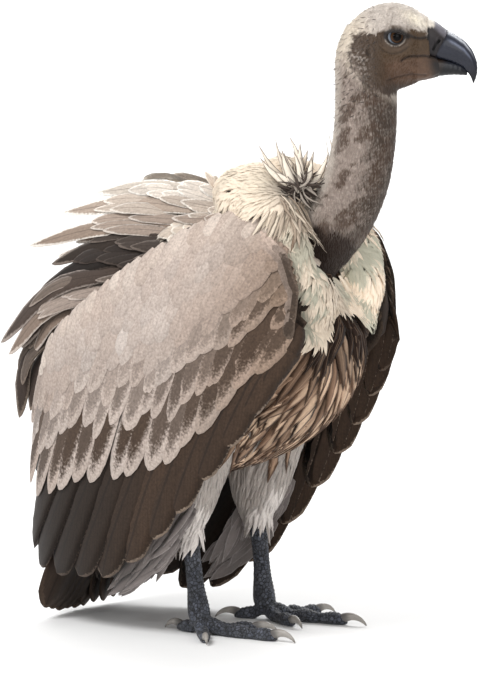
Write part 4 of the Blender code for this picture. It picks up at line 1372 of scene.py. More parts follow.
def eye_ball(name: str, around: int) -> Mesh:
    """A smooth ball as large as the eye, round the head frame's origin."""
    mesh = bpy.data.meshes.new(name)
    with edited(mesh) as bm:
        bmesh.ops.create_uvsphere(bm, u_segments=around, v_segments=around * 2 // 3, radius=EYE_RADIUS)
    return mesh


def make_eyes() -> None:
    """The two eyes, each a smooth ball with its pupil turned out of the head."""
    for word, side in SIDES.items():
        mesh = eye_ball(f"eye_{word}_ball", 48)
        points = vertex_array(mesh)
        turned = points @ unit(np.array((0.22, side * 1.0, 0.02))) / EYE_RADIUS
        paint(mesh, "ring", np.arccos(np.clip(turned, -1, 1)) / math.radians(62))
        points = points * (1 + 0.5 * smooth(turned, 0.8, 0.97) / EYE_RADIUS)[:, None]
        put(mesh.vertices, "co", from_head(points + (0, EYE_SIDE * side, 0)))
        finish_piece(mesh.name, mesh, EyeFinish(), "eye", f"eye_{word}")


def make_lids() -> None:
    """The upper lids, each a fold of skin that cuts the eye's top off along a slant."""
    for word, side in SIDES.items():
        mesh = eye_ball(f"lid_{word}_fold", 96)
        points = vertex_array(mesh)
        over = points[:, 2] - np.interp(points[:, 0], (-9, -4, 0, 5, 9), (4.8, 4.5, 4.0, 2.6, 0.8))
        paint(mesh, "marking", mixed(MARKS.lid, MARKS.face, smooth(over, 1.0, 2.4)))
        paint(mesh, "scaly", np.zeros(len(points)))
        points = points * (0.86 + 0.24 * smooth(over, -0.3, 0.3))[:, None]
        put(mesh.vertices, "co", from_head(points + (0, EYE_SIDE * side, 0)))
        finish_piece(mesh.name, mesh, SkinFinish(), "grey_skin")


def make_claws() -> None:
    """Eight claws, each a smooth horn bent down from its toe."""
    bend, begin = math.radians(78.0), math.radians(24.0)
    up = np.array((0, 0, 1.0))
    for word, side in SIDES.items():
        for toe, (_, length, radius, claw, _) in TOES.items():
            heading = toe_rows(word, side, toe)[2]
            across = np.array((-heading[1], heading[0], 0))
            root = ANKLE * (1, side, 0) + heading * (length - 0.0035)
            root[2] = radius * 0.78 + 0.001
            rings, reach = [], claw / bend
            for t in np.linspace(-0.12, 1, 26):
                turn = begin - bend * t
                centre = root + heading * reach * (math.sin(begin) - math.sin(turn))
                centre = centre + up * reach * (math.cos(turn) - math.cos(begin))
                size = radius * 0.56 * (1 - max(t, 0)) ** 0.75 + 0.0004
                lift = up * math.cos(turn) - heading * math.sin(turn)
                rings.append(oval(centre, across * size * 0.8, lift * size, 20, (2, 2.6)))
                rings[-1][:, 2] = np.maximum(rings[-1][:, 2], 0.0002)
            mesh = lofted("claw", [rings])
            share = far(vertex_array(mesh), root) / claw
            tint = mixed("#3C3A3B", "#98938D", smooth(share, 0.05, 0.35))
            paint(mesh, "marking", mixed(tint, "#6C6762", smooth(share, 0.75, 0.95)))
            name = f"claw_{word}_{toe}"
            finish_piece(f"{name}_horn", mesh, HornFinish("claw_keratin", 0.32, coat=0.2), "claw_horn", name)


# ---- wings
@dataclass
class Wing:
    """One folded wing: rows of coverts over the arm, and the flight feathers below them."""

    word: str
    side: int
    quills: int = 13
    primaries_from: float = 0.645
    quill_half: float = 0.0225
    drift: float = 0.33
    covert_drift: float = 0.17
    exposed: tuple[float, ...] = (
        0.0, 0.054, 0.09, 0.116, 0.136, 0.154, 0.171, 0.188, 0.205, 0.222, 0.239, 0.256, 0.273,
    )
    lengths: tuple[float, ...] = (0.122, 0.096, 0.072, 0.058, 0.05, 0.047, 0.045)
    halves: tuple[float, ...] = (0.0138, 0.0118, 0.0112, 0.011, 0.011, 0.0108, 0.0106)

    def tall(self, across: Array) -> Array:
        """The wing's height down each share, in metres."""
        return np.linalg.norm(straight(WING_BOTTOM, across) - straight(WING_TOP, across), axis=-1)

    def lines(
        self, shape: VaneShape, tips: Pair, root: Array, depths: tuple[float, float],
        tilt: float, drift: float,
    ) -> Pair:
        """Middle lines and ways out of feathers that lie on the wing.

        Args:
            shape: The feathers' shape.
            tips: Shares across and down the wing at each tip.
            root: Share down at each root.
            depths: How deep root and tip lie.
            tilt: How far each vane leans, so that its front edge lies over its neighbour.
            drift: How far forward the root lies of the tip, for each share down between them.

        Returns:
            The lines, and the ways out at their points.
        """
        t, tip = shape.shares(), tips[1][:, None]
        down = root[:, None] + (tip - root[:, None]) * t
        across = np.clip(tips[0][:, None] - drift * (tip - down), 0.004, 0.996)
        return self.surface(across, down, depths[0] + (depths[1] - depths[0]) * t**0.7, tilt)

    def surface(self, across: Array, down: Array, depth: Array, tilt: float) -> Pair:
        """Places on the wing and the ways out there, leaned across by a tilt."""
        here, over, under = (wing_place(across + k, down, depth, self.side) for k in (0, 0.004, -0.004))
        long = wing_place(across, down + 0.004, depth, self.side)
        long = long - wing_place(across, down - 0.004, depth, self.side)
        out = unit(np.cross(over - under, long)) * -self.side
        out = np.where((out[..., 1] * self.side < 0)[..., None], -out, out)
        return here, unit(out + unit(over - under) * tilt)

    def coverts(self) -> None:
        """Rows of coverts from the wing's lower edge up over its top."""
        draw = np.random.default_rng(7 + self.side)
        parts = []
        for row, up in enumerate(self.exposed):
            pick = min(row, len(self.lengths) - 1)
            length, half = self.lengths[pick], self.halves[pick]
            count = int(0.43 / (half * (1.5 if row else 1.62)))
            at = (np.arange(count) + 0.5 * (row % 2) + draw.uniform(-0.18, 0.18, count)) / count
            at = np.clip(at, 0.008, 0.992)
            tall = self.tall(at)
            stray = (0.004, 0.013, 0.012, 0.009)[row] if row < 4 else 0.006
            stray = stray * (1 + 0.9 * bell(at - 0.2, 0.15))
            tip = covert_end(at) - (up + draw.uniform(-1, 1, count) * stray) / tall
            at, tall, tip = (values[tip > 0.015] for values in (at, tall, tip))
            root = np.maximum(tip - length / tall, -0.03)
            sunk, tilt = ((0.0072, 0.0012), 0.1) if row < 4 else ((0.0052, 0.0016), 0.04)
            line, out = self.lines(COVERT, (at, tip), root, sunk, tilt, self.covert_drift)
            wide = half * draw.uniform(0.9, 1.15, len(at)) * (1 + 0.15 * bell(at - 0.45, 0.2))
            wide = wide * np.clip(0.45 + (tip - root) * tall / length * 0.6, 0.5, 1.05)
            tints = self.covert_tints(line[:, -2], at, tip, row, draw)
            patch = (0.9 / count, 0.028 if row < 3 else 0.018)
            parts.append(Feathers(COVERT, line, out, wide, *tints, self.chart(at, np.clip(tip, 0, 1)), patch))
        finish = PlumageFinish(
            "covert_vane", border=(0.3, 0.86), barb=0.2, speckle=0.7, grain=0.42,
            shaft_share=0.1, tip_power=4.5,
        )
        feathers = parts[0].joined(*parts[1:], *self.lining(draw), self.wrist(draw))
        name = f"wing_{self.word}_covert"
        feathers.place(f"{name}_vanes", 0.6, finish, "covert_feather", f"{name}s")

    @staticmethod
    def chart(across: Array, down: Array) -> Array:
        """Middles of feathers on the wing's own chart."""
        return np.stack([across * 0.96 + 0.02, down * 0.96 + 0.02], axis=-1)

    def wrist(self, draw: Draw) -> Feathers:
        """Small feathers that roll over the wing's front edge, dark as painted shade on the rolled edge and
        paler at the shoulder as a painted highlight.
        """
        at = np.repeat(np.linspace(0.0, 0.25, 24), 2) + draw.uniform(-0.006, 0.006, 48)
        down = np.tile((0.004, 0.034), 24)
        across = np.maximum(at[:, None] + 0.07 * (1 - COVERT.shares()), 0.002)
        line, out = self.surface(across, np.broadcast_to(down[:, None], across.shape), 0.0015, 0.0)
        shade = draw.uniform(0.85, 1.15, (48, 1))
        # Painted highlight: paler towards the shoulder, and a little paler on the lower row throughout.
        pale = np.maximum(smooth(at, 0.15, 0.25), 0.35 * (down > 0.02))
        tints = (mixed(code, "#A8968A", pale) * shade for code in ("#40352D", "#5A4D43"))
        half = draw.uniform(0.85, 1.1, 48) * np.interp(at, (0, 0.25), (0.0068, 0.0046))
        return Feathers(COVERT, line, out, half, *tints, self.chart(at, down), 0.015)

    def lining(self, draw: Draw) -> list[Feathers]:
        """Dark feathers that line the folded arm's inner side."""
        parts = []
        for row in range(11):
            at = (np.arange(24) + 0.5 * (row % 2) + draw.uniform(-0.2, 0.2, 24)) / 24.5
            tall = self.tall(at)
            tip = covert_end(at) - (0.004 + 0.027 * row) / tall
            kept = (tip > 0.3) & (at > 0.14) & (at < 0.95)
            at, tall, tip = at[kept], tall[kept], tip[kept]
            line, out = self.lines(COVERT, (at, tip), tip - 0.05 / tall, (0.0205, 0.025), 0, self.drift)
            shade = draw.uniform(0.8, 1.2, (len(at), 1))
            tints = (linear(code) * shade for code in ("#2E251F", "#4B3F36"))
            half = draw.uniform(0.0125, 0.015, len(at))
            parts.append(Feathers(COVERT, line, -out, half, *tints, self.chart(at, tip), 0.02))
        return parts

    @staticmethod
    def covert_tints(places: Array, at: Array, tip: Array, row: int, draw: Draw) -> Pair:
        """Centre and edge colours of one row of coverts, with a painted highlight along the wing's top."""
        base = coated(
            mixed("#857161", "#B3A79F", smooth(at, 0.16, 0.6)),
            # Painted highlight along the wing's top edge, from the shoulder back.
            ("#D5C8BC", 0.5 * (1 - smooth(tip, 0.02, 0.13)) * smooth(at, 0.24, 0.36)),
            ("#94806F", 0.5 * smooth(0.14 - at, 0, 0.12)),
            ("#9E8A7D", 0.5 * (0.5 + 0.5 * lumps(places, 0.06, 61))),
        )
        dark = (0.95, 0.8, 0.45, 0.18)[row] if row < 4 else 0.04
        front = 0.75 * bell(at - 0.1, 0.09) * smooth(tip, 0.3, 0.5) * (row < 6)
        share = np.clip(np.maximum(dark * (1.1 - 0.35 * smooth(at, 0.3, 0.9) * (row > 0)), front), 0, 1)
        share = share * draw.uniform(0.8, 1.05, len(at))
        centre = mixed(base, "#43352B", np.clip(share, 0, 1))
        shade = draw.uniform(0.94, 1.05, (len(at), 1))
        return centre * shade, base * shade * (0.96 if row < 3 else 0.88)

    def flight(self) -> None:
        """Secondaries and primaries: long dark vanes, each lying over the next one in front."""
        draw = np.random.default_rng(17 + self.side)
        at = (np.arange(self.quills) + 0.62) / (self.quills + 0.1)
        tip = 1.0 - 0.01 * draw.random(self.quills) - 0.02 * (at < 0.1)
        root = covert_end(at) - 0.085 / self.tall(at)
        line, out = self.lines(QUILL, (at, tip), root, (0.0085, 0.0035), 0.13, self.drift)
        half = self.quill_half * np.interp(at, (0, 0.12, 0.6, 1), (0.72, 0.95, 1.12, 0.8))
        centre = mixed("#37291F", "#251C16", smooth(at, 0.55, 0.8))
        centre = centre * draw.uniform(0.85, 1.12, (self.quills, 1))
        # The pale edge colour is painted highlight along each vane's rim, palest on the middle feathers.
        edge = mixed("#8B7A6B", "#54463C", np.maximum(smooth(at, 0.5, 0.8), smooth(-at, -0.2, -0.1)))
        chart = np.stack([at * 0.94 + 0.02, np.full(self.quills, 0.5)], axis=-1)
        whole = Feathers(QUILL, line, out, half, centre, edge, chart, (0.055, 0.9))
        finish = PlumageFinish(
            "flight_vane", 0.65, border=(0.92, 1.12), barb=0.4, speckle=0.5, grain=0.42,
            shaft="#171210", tip_power=16.0,
        )
        outer = at >= self.primaries_from
        for group, kept in (("secondaries", ~outer), ("primaries", outer)):
            name = f"wing_{self.word}_{group}"
            whole.kept(kept).place(f"{name}_vanes", 0.0, finish, "flight_feather", name)

    def build(self) -> None:
        """Makes the wing."""
        self.coverts()
        self.flight()


# ---- plumes, tail and coat
def blade_lines(rows: Array, side: int, shares: Array) -> Pair:
    """Middle line and ways out of one long loose feather of the back or thigh."""
    line = through(mirrored(rows, side), shares)
    ahead = unit(np.gradient(line, axis=0))
    out = np.array((0, side * 0.75, 0.66))
    return line, unit(out - (ahead @ out)[:, None] * ahead)


@dataclass
class Plumes:
    """The loose scapular plumes of one side, with shorter ones between them."""

    word: str
    side: int
    # Centre, edge and shine of each plume; the fourth and fifth are dark as painted shade in the hollow below
    # the upper plumes.
    tints: tuple[tuple[str, str, str], ...] = (
        ("#C2B3A3", "#E9E0D3", "#CDBFB1"), ("#A08D7D", "#E4D9CB", "#BFAF9F"),
        ("#8D7969", "#DFD2C4", "#A39183"), ("#30261F", "#75675C", "#4F443D"),
        ("#1E1713", "#4A3E36", "#3A302A"), ("#463931", "#94857A", "#7A6B5F"),
        ("#7C695B", "#B8A89B", "#A09084"), ("#3A2E27", "#776759", "#6E6055"),
    )
    # Copies that fan out below each plume: drop, pull towards its root and width.
    copies: tuple[tuple[float, float, float], ...] = (
        (0.0, 0.0, 0.8), (0.013, 0.16, 0.7), (-0.003, 0.26, 0.72), (0.004, 0.36, 0.7), (0.016, 0.44, 0.8),
    )

    def build(self) -> None:
        """Makes the plumes."""
        draw = np.random.default_rng(27 + self.side)
        made, t = [], PLUME.shares()
        for row, codes in zip(PLUMES, self.tints):
            for copy, (drop, pull, wide) in enumerate(self.copies):
                moved = row[:9].reshape(3, 3) + np.array((0, 0.1, -1)) * drop * draw.uniform(0.8, 1.2)
                moved[1:] += (moved[0] - moved[1:]) * pull
                if copy:
                    moved += draw.normal(0, 0.0022, (3, 3))
                line, out = blade_lines(moved, self.side, t)
                shade = draw.uniform(0.88, 1.08)
                tints = (linear(code) * shade for code in codes[:2])
                made.append((line + out * (0.002 - 0.0016 * copy), out, row[9] * wide, *tints))
        # Shorter feathers lie like tiles over each plume's root and middle.
        for k in range(64):
            root, middle, tip = PLUMES[k % 8][:9].reshape(3, 3)
            begin = draw.uniform(0.0, 0.58)
            rows = (root - 0.5 * (middle - root), root, middle, tip)
            line, out = blade_lines(rows, self.side, begin + t * draw.uniform(0.24, 0.34))
            aside = np.cross(unit(line[-1] - line[0]), out[0]) * draw.uniform(-0.8, 0.8) * PLUMES[k % 8][9]
            sunk = 0.0012 + 0.005 * (1 - begin) - 0.006 * (1 - t) ** 3 + 0.001 * t
            half, shade = draw.uniform(0.0062, 0.0088), draw.uniform(0.88, 1.08)
            centre, edge, shine = (linear(code) for code in self.tints[k % 8])
            tints = ((centre + shine) / 2 * shade, (edge + shine) / 2 * shade * 1.1)
            made.append((line + aside + out * sunk[:, None], out, half, *tints))
        line, out, half, centre, edge = columns(made)
        cool = (0.97, 1.02, 1.08)
        number = np.arange(len(made))
        chart = np.stack([(number % 8 + 0.5) / 8, (number // 8 + 0.5) / 13], axis=-1)
        feathers = Feathers(PLUME, line, out, half, centre * cool, edge * cool, chart, (0.11, 0.07))
        finish = PlumageFinish(
            "scapular_vane", border=(0.62, 0.95), speckle=0.45, grain=0.28, shaft_share=0.4
        )
        name = f"scapular_{self.word}_plumes"
        feathers.place(name, 0.4, finish, "covert_feather", f"scapulars_{self.word}")


@dataclass
class Tail:
    """The fan of tail feathers, whose tips rest at floor level."""

    quills: int = 10
    half: float = 0.0245

    def build(self) -> None:
        """Makes the fan, its middle feathers lying over the outer ones."""
        draw = np.random.default_rng(37)
        s = (np.arange(self.quills) + 0.5) / self.quills * 2 - 1
        t, level = QUILL.shares(), s[:, None]
        reach = t[None] * (0.972 - 0.05 * level**2 - 0.012 * draw.random((self.quills, 1)))
        line = TAIL_ROOT + (TAIL_TIP - TAIL_ROOT) * reach[..., None]
        line[..., 1] = level * (TAIL_HALF_ROOT + (TAIL_HALF_TIP - TAIL_HALF_ROOT) * reach) * 0.9
        line[..., 0] += 0.016 * level**2 * (1 - t) - 0.006 * (1 - np.abs(level))
        out = unit(np.stack(np.broadcast_arrays(-1.0, -0.1 * np.sign(level), -0.32 + 0 * reach), axis=-1))
        centre = linear("#30251E") * draw.uniform(0.8, 1.2, (self.quills, 1))
        chart = np.stack([(s + 1) / 2 * 0.92 + 0.04, np.full(self.quills, 0.5)], axis=-1)
        finish = PlumageFinish("tail_vane", 0.6, border=(0.8, 1.05), barb=0.25, shaft="#120E0C")
        feathers = Feathers(QUILL, line, out, self.half, centre, linear("#4A3C32"), chart, (0.07, 0.9))
        feathers.place("tail_vanes", 0.0, finish, "flight_feather", "tail")


def skin_chart(points: Array) -> Array:
    """Unwraps places on the skin round its own middle line, from the crown down to the tail."""
    rump = mm((55, 0, 380), (-30, 0, 310), (-160, 0, 200))
    spine = np.concatenate([through(NECK, 40)[::-1, :3], through(rump, 40)])
    index = nearest_index(spine, points)
    ahead = unit(np.gradient(spine, axis=0))[index]
    away = points - spine[index]
    up = np.cross(ahead, (0, 1.0, 0))
    along = index + np.clip((away * ahead).sum(axis=1) / 0.008, -3, 12)
    turn = np.arctan2((away * up).sum(axis=1), away[:, 1]) / (2 * math.pi) + 0.5
    return np.stack([turn, np.clip((along + 6) / (len(spine) + 22), 0, 1)], axis=-1)


@dataclass
class Coat:
    """Everything that grows from the skin: contour feathers, ruff and down."""

    skin: Skin

    def __post_init__(self) -> None:
        """Takes the middles and regions of the skin's faces, which say what grows where."""
        self.place, self.kind = self.skin.middle, self.skin.kind

    def sow(self, allowed: Array, spacing: float, seed: int) -> tuple[Draw, Roots, int]:
        """A seeded draw, the roots of one kind of feather and how many they are."""
        roots = self.skin.scatter(allowed, spacing, seed + 1)
        return np.random.default_rng(seed), roots, len(roots.at)

    def grow(
        self,
        shape: VaneShape,
        roots: Roots,
        flow: Array,
        sizes: Pair,
        tints: Pair,
        lift: tuple[float, float],
        patch: float = 0.004,
    ) -> Feathers:
        """Grows feathers of one shape from their roots.

        Args:
            shape: Their shape.
            roots: Where they grow.
            flow: The lie at each root.
            sizes: Length and half width of each.
            tints: Centre and edge colours of each.
            lift: How far root and tip stand off the skin.
            patch: Size of each one's patch on the skin's chart.

        Returns:
            The feathers.
        """
        line, out = self.skin.lay(roots, flow, sizes[0], shape.shares(), lift)
        return Feathers(shape, line, out, sizes[1], *tints, skin_chart(roots.at), patch)

    def belly(self) -> None:
        """Breast, belly and flanks: pointed brown feathers with pale middles."""
        allowed = (self.kind == Region.TRUNK) & (self.place[:, 2] < 0.4)
        draw, roots, count = self.sow(allowed, 0.0088, 47)
        x, y, z = roots.at.T
        flow = (-0.57, 0.0, -0.82) + draw.normal(0, 0.1, (count, 3)) + 0.3 * swirl(roots.at, 0.08, 72)
        sizes = (draw.uniform(0.048, 0.084, count), draw.uniform(0.005, 0.0084, count))
        shade = draw.uniform(0.75, 1.2, (count, 1))
        edge = mixed("#3A2B21", "#6E5442", 0.5 + 0.5 * lumps(roots.at, 0.05, 71)) * shade
        centre = mixed("#775D4B", "#DDBFA3", draw.random(count) ** 1.4) * shade
        crop = smooth(x, 0.1, 0.115) * smooth(z, 0.31, 0.34) * smooth(np.abs(y), 0.06, 0.045)
        tints = (mixed(centre, MARKS.crop, crop), mixed(edge, linear(MARKS.crop) * 0.8, crop))
        feathers = self.grow(LANCE, roots, flow, sizes, tints, (0.001, 0.0085))
        finish = PlumageFinish(
            "belly_vane", border=(0.08, 0.58), speckle=0.4, shaft="#C9A98C", shaft_share=0.25
        )
        feathers = feathers.kept(~((np.abs(y) > 0.056) & (z > 0.33) & (x > 0.095)))
        feathers.place("belly_vanes", 0.35, finish, "belly_feather")

    def back(self) -> None:
        """Mantle and rump: rounded pale feathers."""
        kind, high = self.kind, self.place[:, 2] >= 0.385
        allowed = (kind == Region.MANTLE) | ((kind == Region.TRUNK) & high)
        draw, roots, count = self.sow(allowed, 0.0115, 57)
        x, y, z = roots.at.T
        flow = (-1.0, 0.0, -0.3) + draw.normal(0, 0.12, (count, 3))
        flow[:, 1] += 1.8 * y
        sizes = (draw.uniform(0.04, 0.052, count), draw.uniform(0.0095, 0.0125, count))
        shade = draw.uniform(0.85, 1.1, (count, 1))
        low = smooth(0.42 - z, 0, 0.12)
        # Painted shade: feathers darken in the hollow at the mantle's sides, below the plumes' roots.
        hollow = smooth(np.abs(y), 0.04, 0.056) * smooth(-x, 0, 0.03) * smooth(0.445 - z, 0, 0.01)
        tints = (mixed("#CDBEAF", "#8E7D70", low) * shade, mixed("#E9DFD2", "#C4B5A8", low) * shade)
        tints = tuple(mixed(tint, "#453930", 0.9 * hollow) for tint in tints)
        feathers = self.grow(SMALL_CONTOUR, roots, flow, sizes, tints, (0.001, 0.0085))
        feathers = feathers.kept(~pokes_out(feathers.line, 0.006).any(axis=1))
        finish = PlumageFinish("mantle_vane", speckle=0.35, shaft_share=0.15)
        feathers.place("mantle_vanes", 0.3, finish, "covert_feather", "mantle")

    def thighs(self) -> None:
        """Soft grey feathers of the thighs and under the tail, with the loose flags behind."""
        low = np.where(self.kind == Region.CRISSUM, 0.075, 0.116)
        allowed = np.isin(self.kind, (Region.THIGH, Region.CRISSUM)) & (self.place[:, 2] > low)
        draw, roots, count = self.sow(allowed, 0.0046, 67)
        x, _, z = roots.at.T
        flow = (-0.3, 0.0, -0.95) + draw.normal(0, 0.07, (count, 3))
        sizes = (draw.uniform(0.03, 0.044, count), draw.uniform(0.003, 0.0044, count))
        shade = draw.uniform(0.93, 1.06, (count, 1))
        # Painted highlight on each thigh's front, low down.
        light = np.exp(-(((x - 0.006) / 0.026) ** 2) - ((z - 0.13) / 0.03) ** 2)
        light = smooth(light + 0.16 * lumps(roots.at, 0.04, 81, 1), 0.3, 0.6)
        under = (roots.region == Region.CRISSUM).astype(float)
        codes = (("#A39A93", "#D4CCC6", "#3A302A"), ("#B9B1AB", "#E0D8D3", "#4D4139"))
        tints = tuple(mixed(mixed(grey, pale, light), dark, under) * shade for grey, pale, dark in codes)
        soft = self.grow(LANCE, roots, flow, sizes, tints, (0.002, 0.0062))
        feathers = soft.joined(*(self.flags(side, draw) for side in SIDES.values()))
        finish = PlumageFinish("thigh_vane", 0.9, 0.1, speckle=0.3, barb=0.12, grain=0.12, shaft_share=0.0)
        feathers.place("thigh_vanes", 0.35, finish, "thigh_feather", "undertail_coverts")

    @staticmethod
    def flags(side: int, draw: Draw) -> Feathers:
        """Overlapping feathers along each loose flag behind the thigh."""
        made = []
        for row in FLAGS:
            spine = through(mirrored(row[:9].reshape(3, 3), side), 60)
            ahead = unit(np.gradient(spine, axis=0))
            for _ in range(90):
                at = int(draw.uniform(0, 38))
                out = unit(np.array((-0.1, side * 1.0, 0.35)) + draw.normal(0, 0.1, 3))
                wide = row[9] * (0.45 + 0.55 * math.sin(math.pi * at / 48))
                off = unit(np.cross(ahead[at], out)) * draw.uniform(-0.85, 0.85) * wide
                long = draw.uniform(0.04, 0.054)
                way = unit(ahead[at] + draw.normal(0, 0.06, 3) - off * 8)
                line = spine[at] + off + way * (LANCE.shares()[:, None] * long)
                line = line + out * draw.uniform(-0.003, 0.003)
                made.append((line, np.tile(out, (LANCE.steps, 1)), draw.uniform(0.0052, 0.0078)))
        line, out, half = columns(made)
        line[..., 2] = np.maximum(line[..., 2], 0.006)
        shade = draw.uniform(0.85, 1.15, (len(line), 1))
        tints = (linear(code) * shade for code in ("#7E7673", "#948D8A"))
        return Feathers(LANCE, line, out, half, *tints, skin_chart(line[:, 0]), 0.005)

    def ruff(self) -> None:
        """The white down of the collar, in two halves, dark where it parts below the neck, with painted shade
        and light in its tints.
        """
        x, y, z = self.place.T
        bib = (self.kind == Region.TRUNK) & (x > 0.105) & (np.abs(y) < 0.045)
        bib &= np.abs(z - 0.359) < 0.015
        collar = ((self.kind == Region.RUFF) | bib) & (crop_share(self.place) < 0.5)
        for word, side in SIDES.items():
            heart = np.array((0.098, 0.036 * side, 0.476))
            clear = far(self.place, heart) > 0.013
            draw, roots, count = self.sow(collar & clear & (y * side > 0), 0.0022, 77 + side)
            flow = 0.7 * unit(roots.at - heart) + (-0.25, 0, -0.55) + draw.normal(0, 0.14, (count, 3))
            flow = flow + 0.5 * swirl(roots.at, 0.035, 84)
            near = 1 - smooth(far(roots.at, heart), 0.012, 0.034)
            low = smooth(0.455 - roots.at[:, 2], 0, 0.05)
            # Painted shade: patches of shaded down, heavier towards the bottom of the collar.
            shade = smooth(1.1 * lumps(roots.at, 0.03, 83, 3), -0.25, 0.45) * (0.25 + 0.6 * low)
            # Painted light: lower down, the far half of the collar lighter and the near half darker.
            painted_side_light = 1 + (0.3 if side > 0 else -0.06) * low
            tip = mixed(MARKS.down, MARKS.down_painted_shade, shade) * painted_side_light[:, None]
            # Painted shade: the down darkens into the hollow where the neck enters the collar.
            tip = mixed(tip, MARKS.down_hollow_shade, 0.85 * near) * draw.uniform(0.96, 1.04, (count, 1))
            sizes = (draw.uniform(0.013, 0.02, count), draw.uniform(0.0018, 0.003, count))
            # Each tuft a little darker at its root, as painted shade.
            feathers = self.grow(DOWN_TUFT, roots, flow, sizes, (tip * 0.95, tip), (0.0078, 0.0118), 0.003)
            bare = crop_share(feathers.line[:, 1:].reshape(-1, 3)).reshape(count, -1).max(axis=1) > 0.5
            run = unit(feathers.line[:, -1] - feathers.line[:, 0])
            astray = (run[:, 1] * side > 0.45) & (roots.at[:, 2] < 0.43) & (np.abs(roots.at[:, 1]) > 0.062)
            feathers = feathers.kept(~(bare | astray | pokes_out(feathers.line, 0.007).any(axis=1)))
            feathers.place(f"ruff_{word}_down", 0.95, DownFinish("ruff_down"), "pale_down", f"ruff_{word}")

    def spikes(self) -> None:
        """Pointed feathers that spring from the collar's dark parting."""
        draw = np.random.default_rng(87)
        made, t, up = [], LANCE.shares()[:, None], np.array((0, 0, 1.0))
        # Tall white ones that curve away from the middle, then a knot of fine ones, mostly dark as painted
        # shade in the collar's hollow.
        tall = np.linspace(172, 46, 18)
        for side, k in product(SIDES.values(), range(len(tall) + 120)):
            if k < len(tall):
                reach = (0.05, 0.032, 0.042)[k % 3] * draw.uniform(0.9, 1.12)
                curl = -0.5 * math.cos(math.radians(tall[k])) + draw.uniform(-0.3, 0.3)
                turn = math.radians(tall[k] + draw.uniform(-6, 6))
                half, push = draw.uniform(0.0032, 0.0046), draw.uniform(-0.006, 0.001)
                codes = ("#EDE2D2", "#95897E")
            else:
                codes = ("#4A403A", "#2B2420") if draw.random() < 0.7 else ("#A0968C", "#4A413B")
                turn, reach = math.radians(draw.uniform(0, 360)), draw.uniform(0.008, 0.024)
                half, curl = draw.uniform(0.001, 0.002), draw.uniform(-1.1, 1.1)
                push = draw.uniform(-0.008, 0.008)
            along, out = np.array((0.819, -0.574 * side, 0)), np.array((0.45, side * 0.8, 0.2))
            root = (0.103, 0.038 * side, 0.476) + unit(draw.normal(size=3)) * 0.006 + out * push
            bend = (along * math.sin(turn) - up * math.cos(turn)) * curl + out * draw.uniform(-0.2, 0.2)
            line = root + (along * math.cos(turn) + up * math.sin(turn)) * reach * t + bend * reach * t**2
            tints = (linear(code) * draw.uniform(0.92, 1.04) for code in codes)
            made.append((line, np.tile(out, (LANCE.steps, 1)), half, *tints))
        line, out, half, centre, edge = columns(made)
        way = unit(np.gradient(line, axis=1))
        out = unit(out - (out * way).sum(axis=-1, keepdims=True) * way)
        feathers = Feathers(LANCE, line, out, half, centre, edge, skin_chart(line[:, 0]), 0.01)
        finish = PlumageFinish(
            "ruff_vane", 0.9, border=(0.38, 0.75), barb=0.1, speckle=0.2, grain=0.1, shaft_share=0.15
        )
        feathers.joined(self.veil(draw)).place("ruff_vanes", 0.3, finish, "pale_down")

    def veil(self, draw: Draw) -> Feathers:
        """Grey-brown feathers that fall from the collar's dark parting over the down below it."""
        x, _, z = self.place.T
        away = far(np.abs(self.place), (0.103, 0.038, 0.476))
        allowed = (self.kind == Region.RUFF) & (away < 0.05) & (z < 0.47) & (x > 0.088)
        roots = self.skin.scatter(allowed, 0.005, 89)
        count = len(roots.at)
        flow = (0.0, 0, -1.0) + draw.normal(0, 0.2, (count, 3))
        sizes = (draw.uniform(0.022, 0.042, count), draw.uniform(0.0014, 0.003, count))
        dark = linear("#4E3F33") * draw.uniform(0.7, 1.2, (count, 1))
        pale = mixed("#7E6B5B", "#DDCFBC", draw.random(count))
        return self.grow(LANCE, roots, flow, sizes, (pale, (pale + dark) / 2), (0.0115, 0.0165), 0.01)

    def bristles(self) -> None:
        """Short dark bristles that stand off the nape."""
        a, _, c = to_head(self.place).T
        allowed = (self.kind <= Region.NECK) & (a < -20 - 0.5 * (c > 20)) & (c > -110) & (a < c + 40)
        draw, roots, count = self.sow(allowed, 0.0062, 117)
        flow = (-0.3, -0.1, -0.6) + draw.normal(0, 0.3, (count, 3))
        half = draw.uniform(0.0003, 0.00045, count)
        sizes = (draw.uniform(0.003, 0.006, count), half)
        tint = np.tile(linear("#2B2420"), (count, 1))
        feathers = self.grow(BRISTLE, roots, flow, sizes, (tint, tint), (0.0, 0.0042))
        feathers.place("nape_bristles", 0.0, DownFinish("nape_bristle"), "grey_skin")

    def fuzz(self) -> None:
        """Short down of the neck and head, thinnest on the face."""
        head = to_head(self.place)
        bare = (far(head[:, ::2], (3, -2)) < 17) | (head[:, 0] > 24)
        allowed = np.isin(self.kind, (Region.NECK, Region.HEAD)) & ~bare
        draw, roots, count = self.sow(allowed, 0.0021, 97)
        upward = to_head(roots.at)[:, 2] > -45
        back = from_head(np.array((-30.0, 0, -60.0))) - from_head(np.array((20.0, 0, 0)))
        flow = np.where(upward[:, None], back, np.array((-0.15, 0, -1.0))) + draw.normal(0, 0.02, (count, 3))
        tint = MARKS.skin_tint(roots.at, roots.region)
        length = draw.uniform(0.003, 0.0052, count) * (1 - 0.45 * MARKS.face_share(roots.at) * upward)
        pale = np.minimum(tint * draw.uniform(0.95, 1.3, (count, 1)), 0.95)
        sizes = (length, draw.uniform(0.00035, 0.0006, count))
        # Each tuft darker at its root, as painted shade.
        feathers = self.grow(BRISTLE, roots, flow, sizes, (tint * 0.8, pale), (0.0, 0.0011), 0.003)
        feathers.place("neck_fuzz", 0.8, DownFinish("neck_down"), "grey_skin")

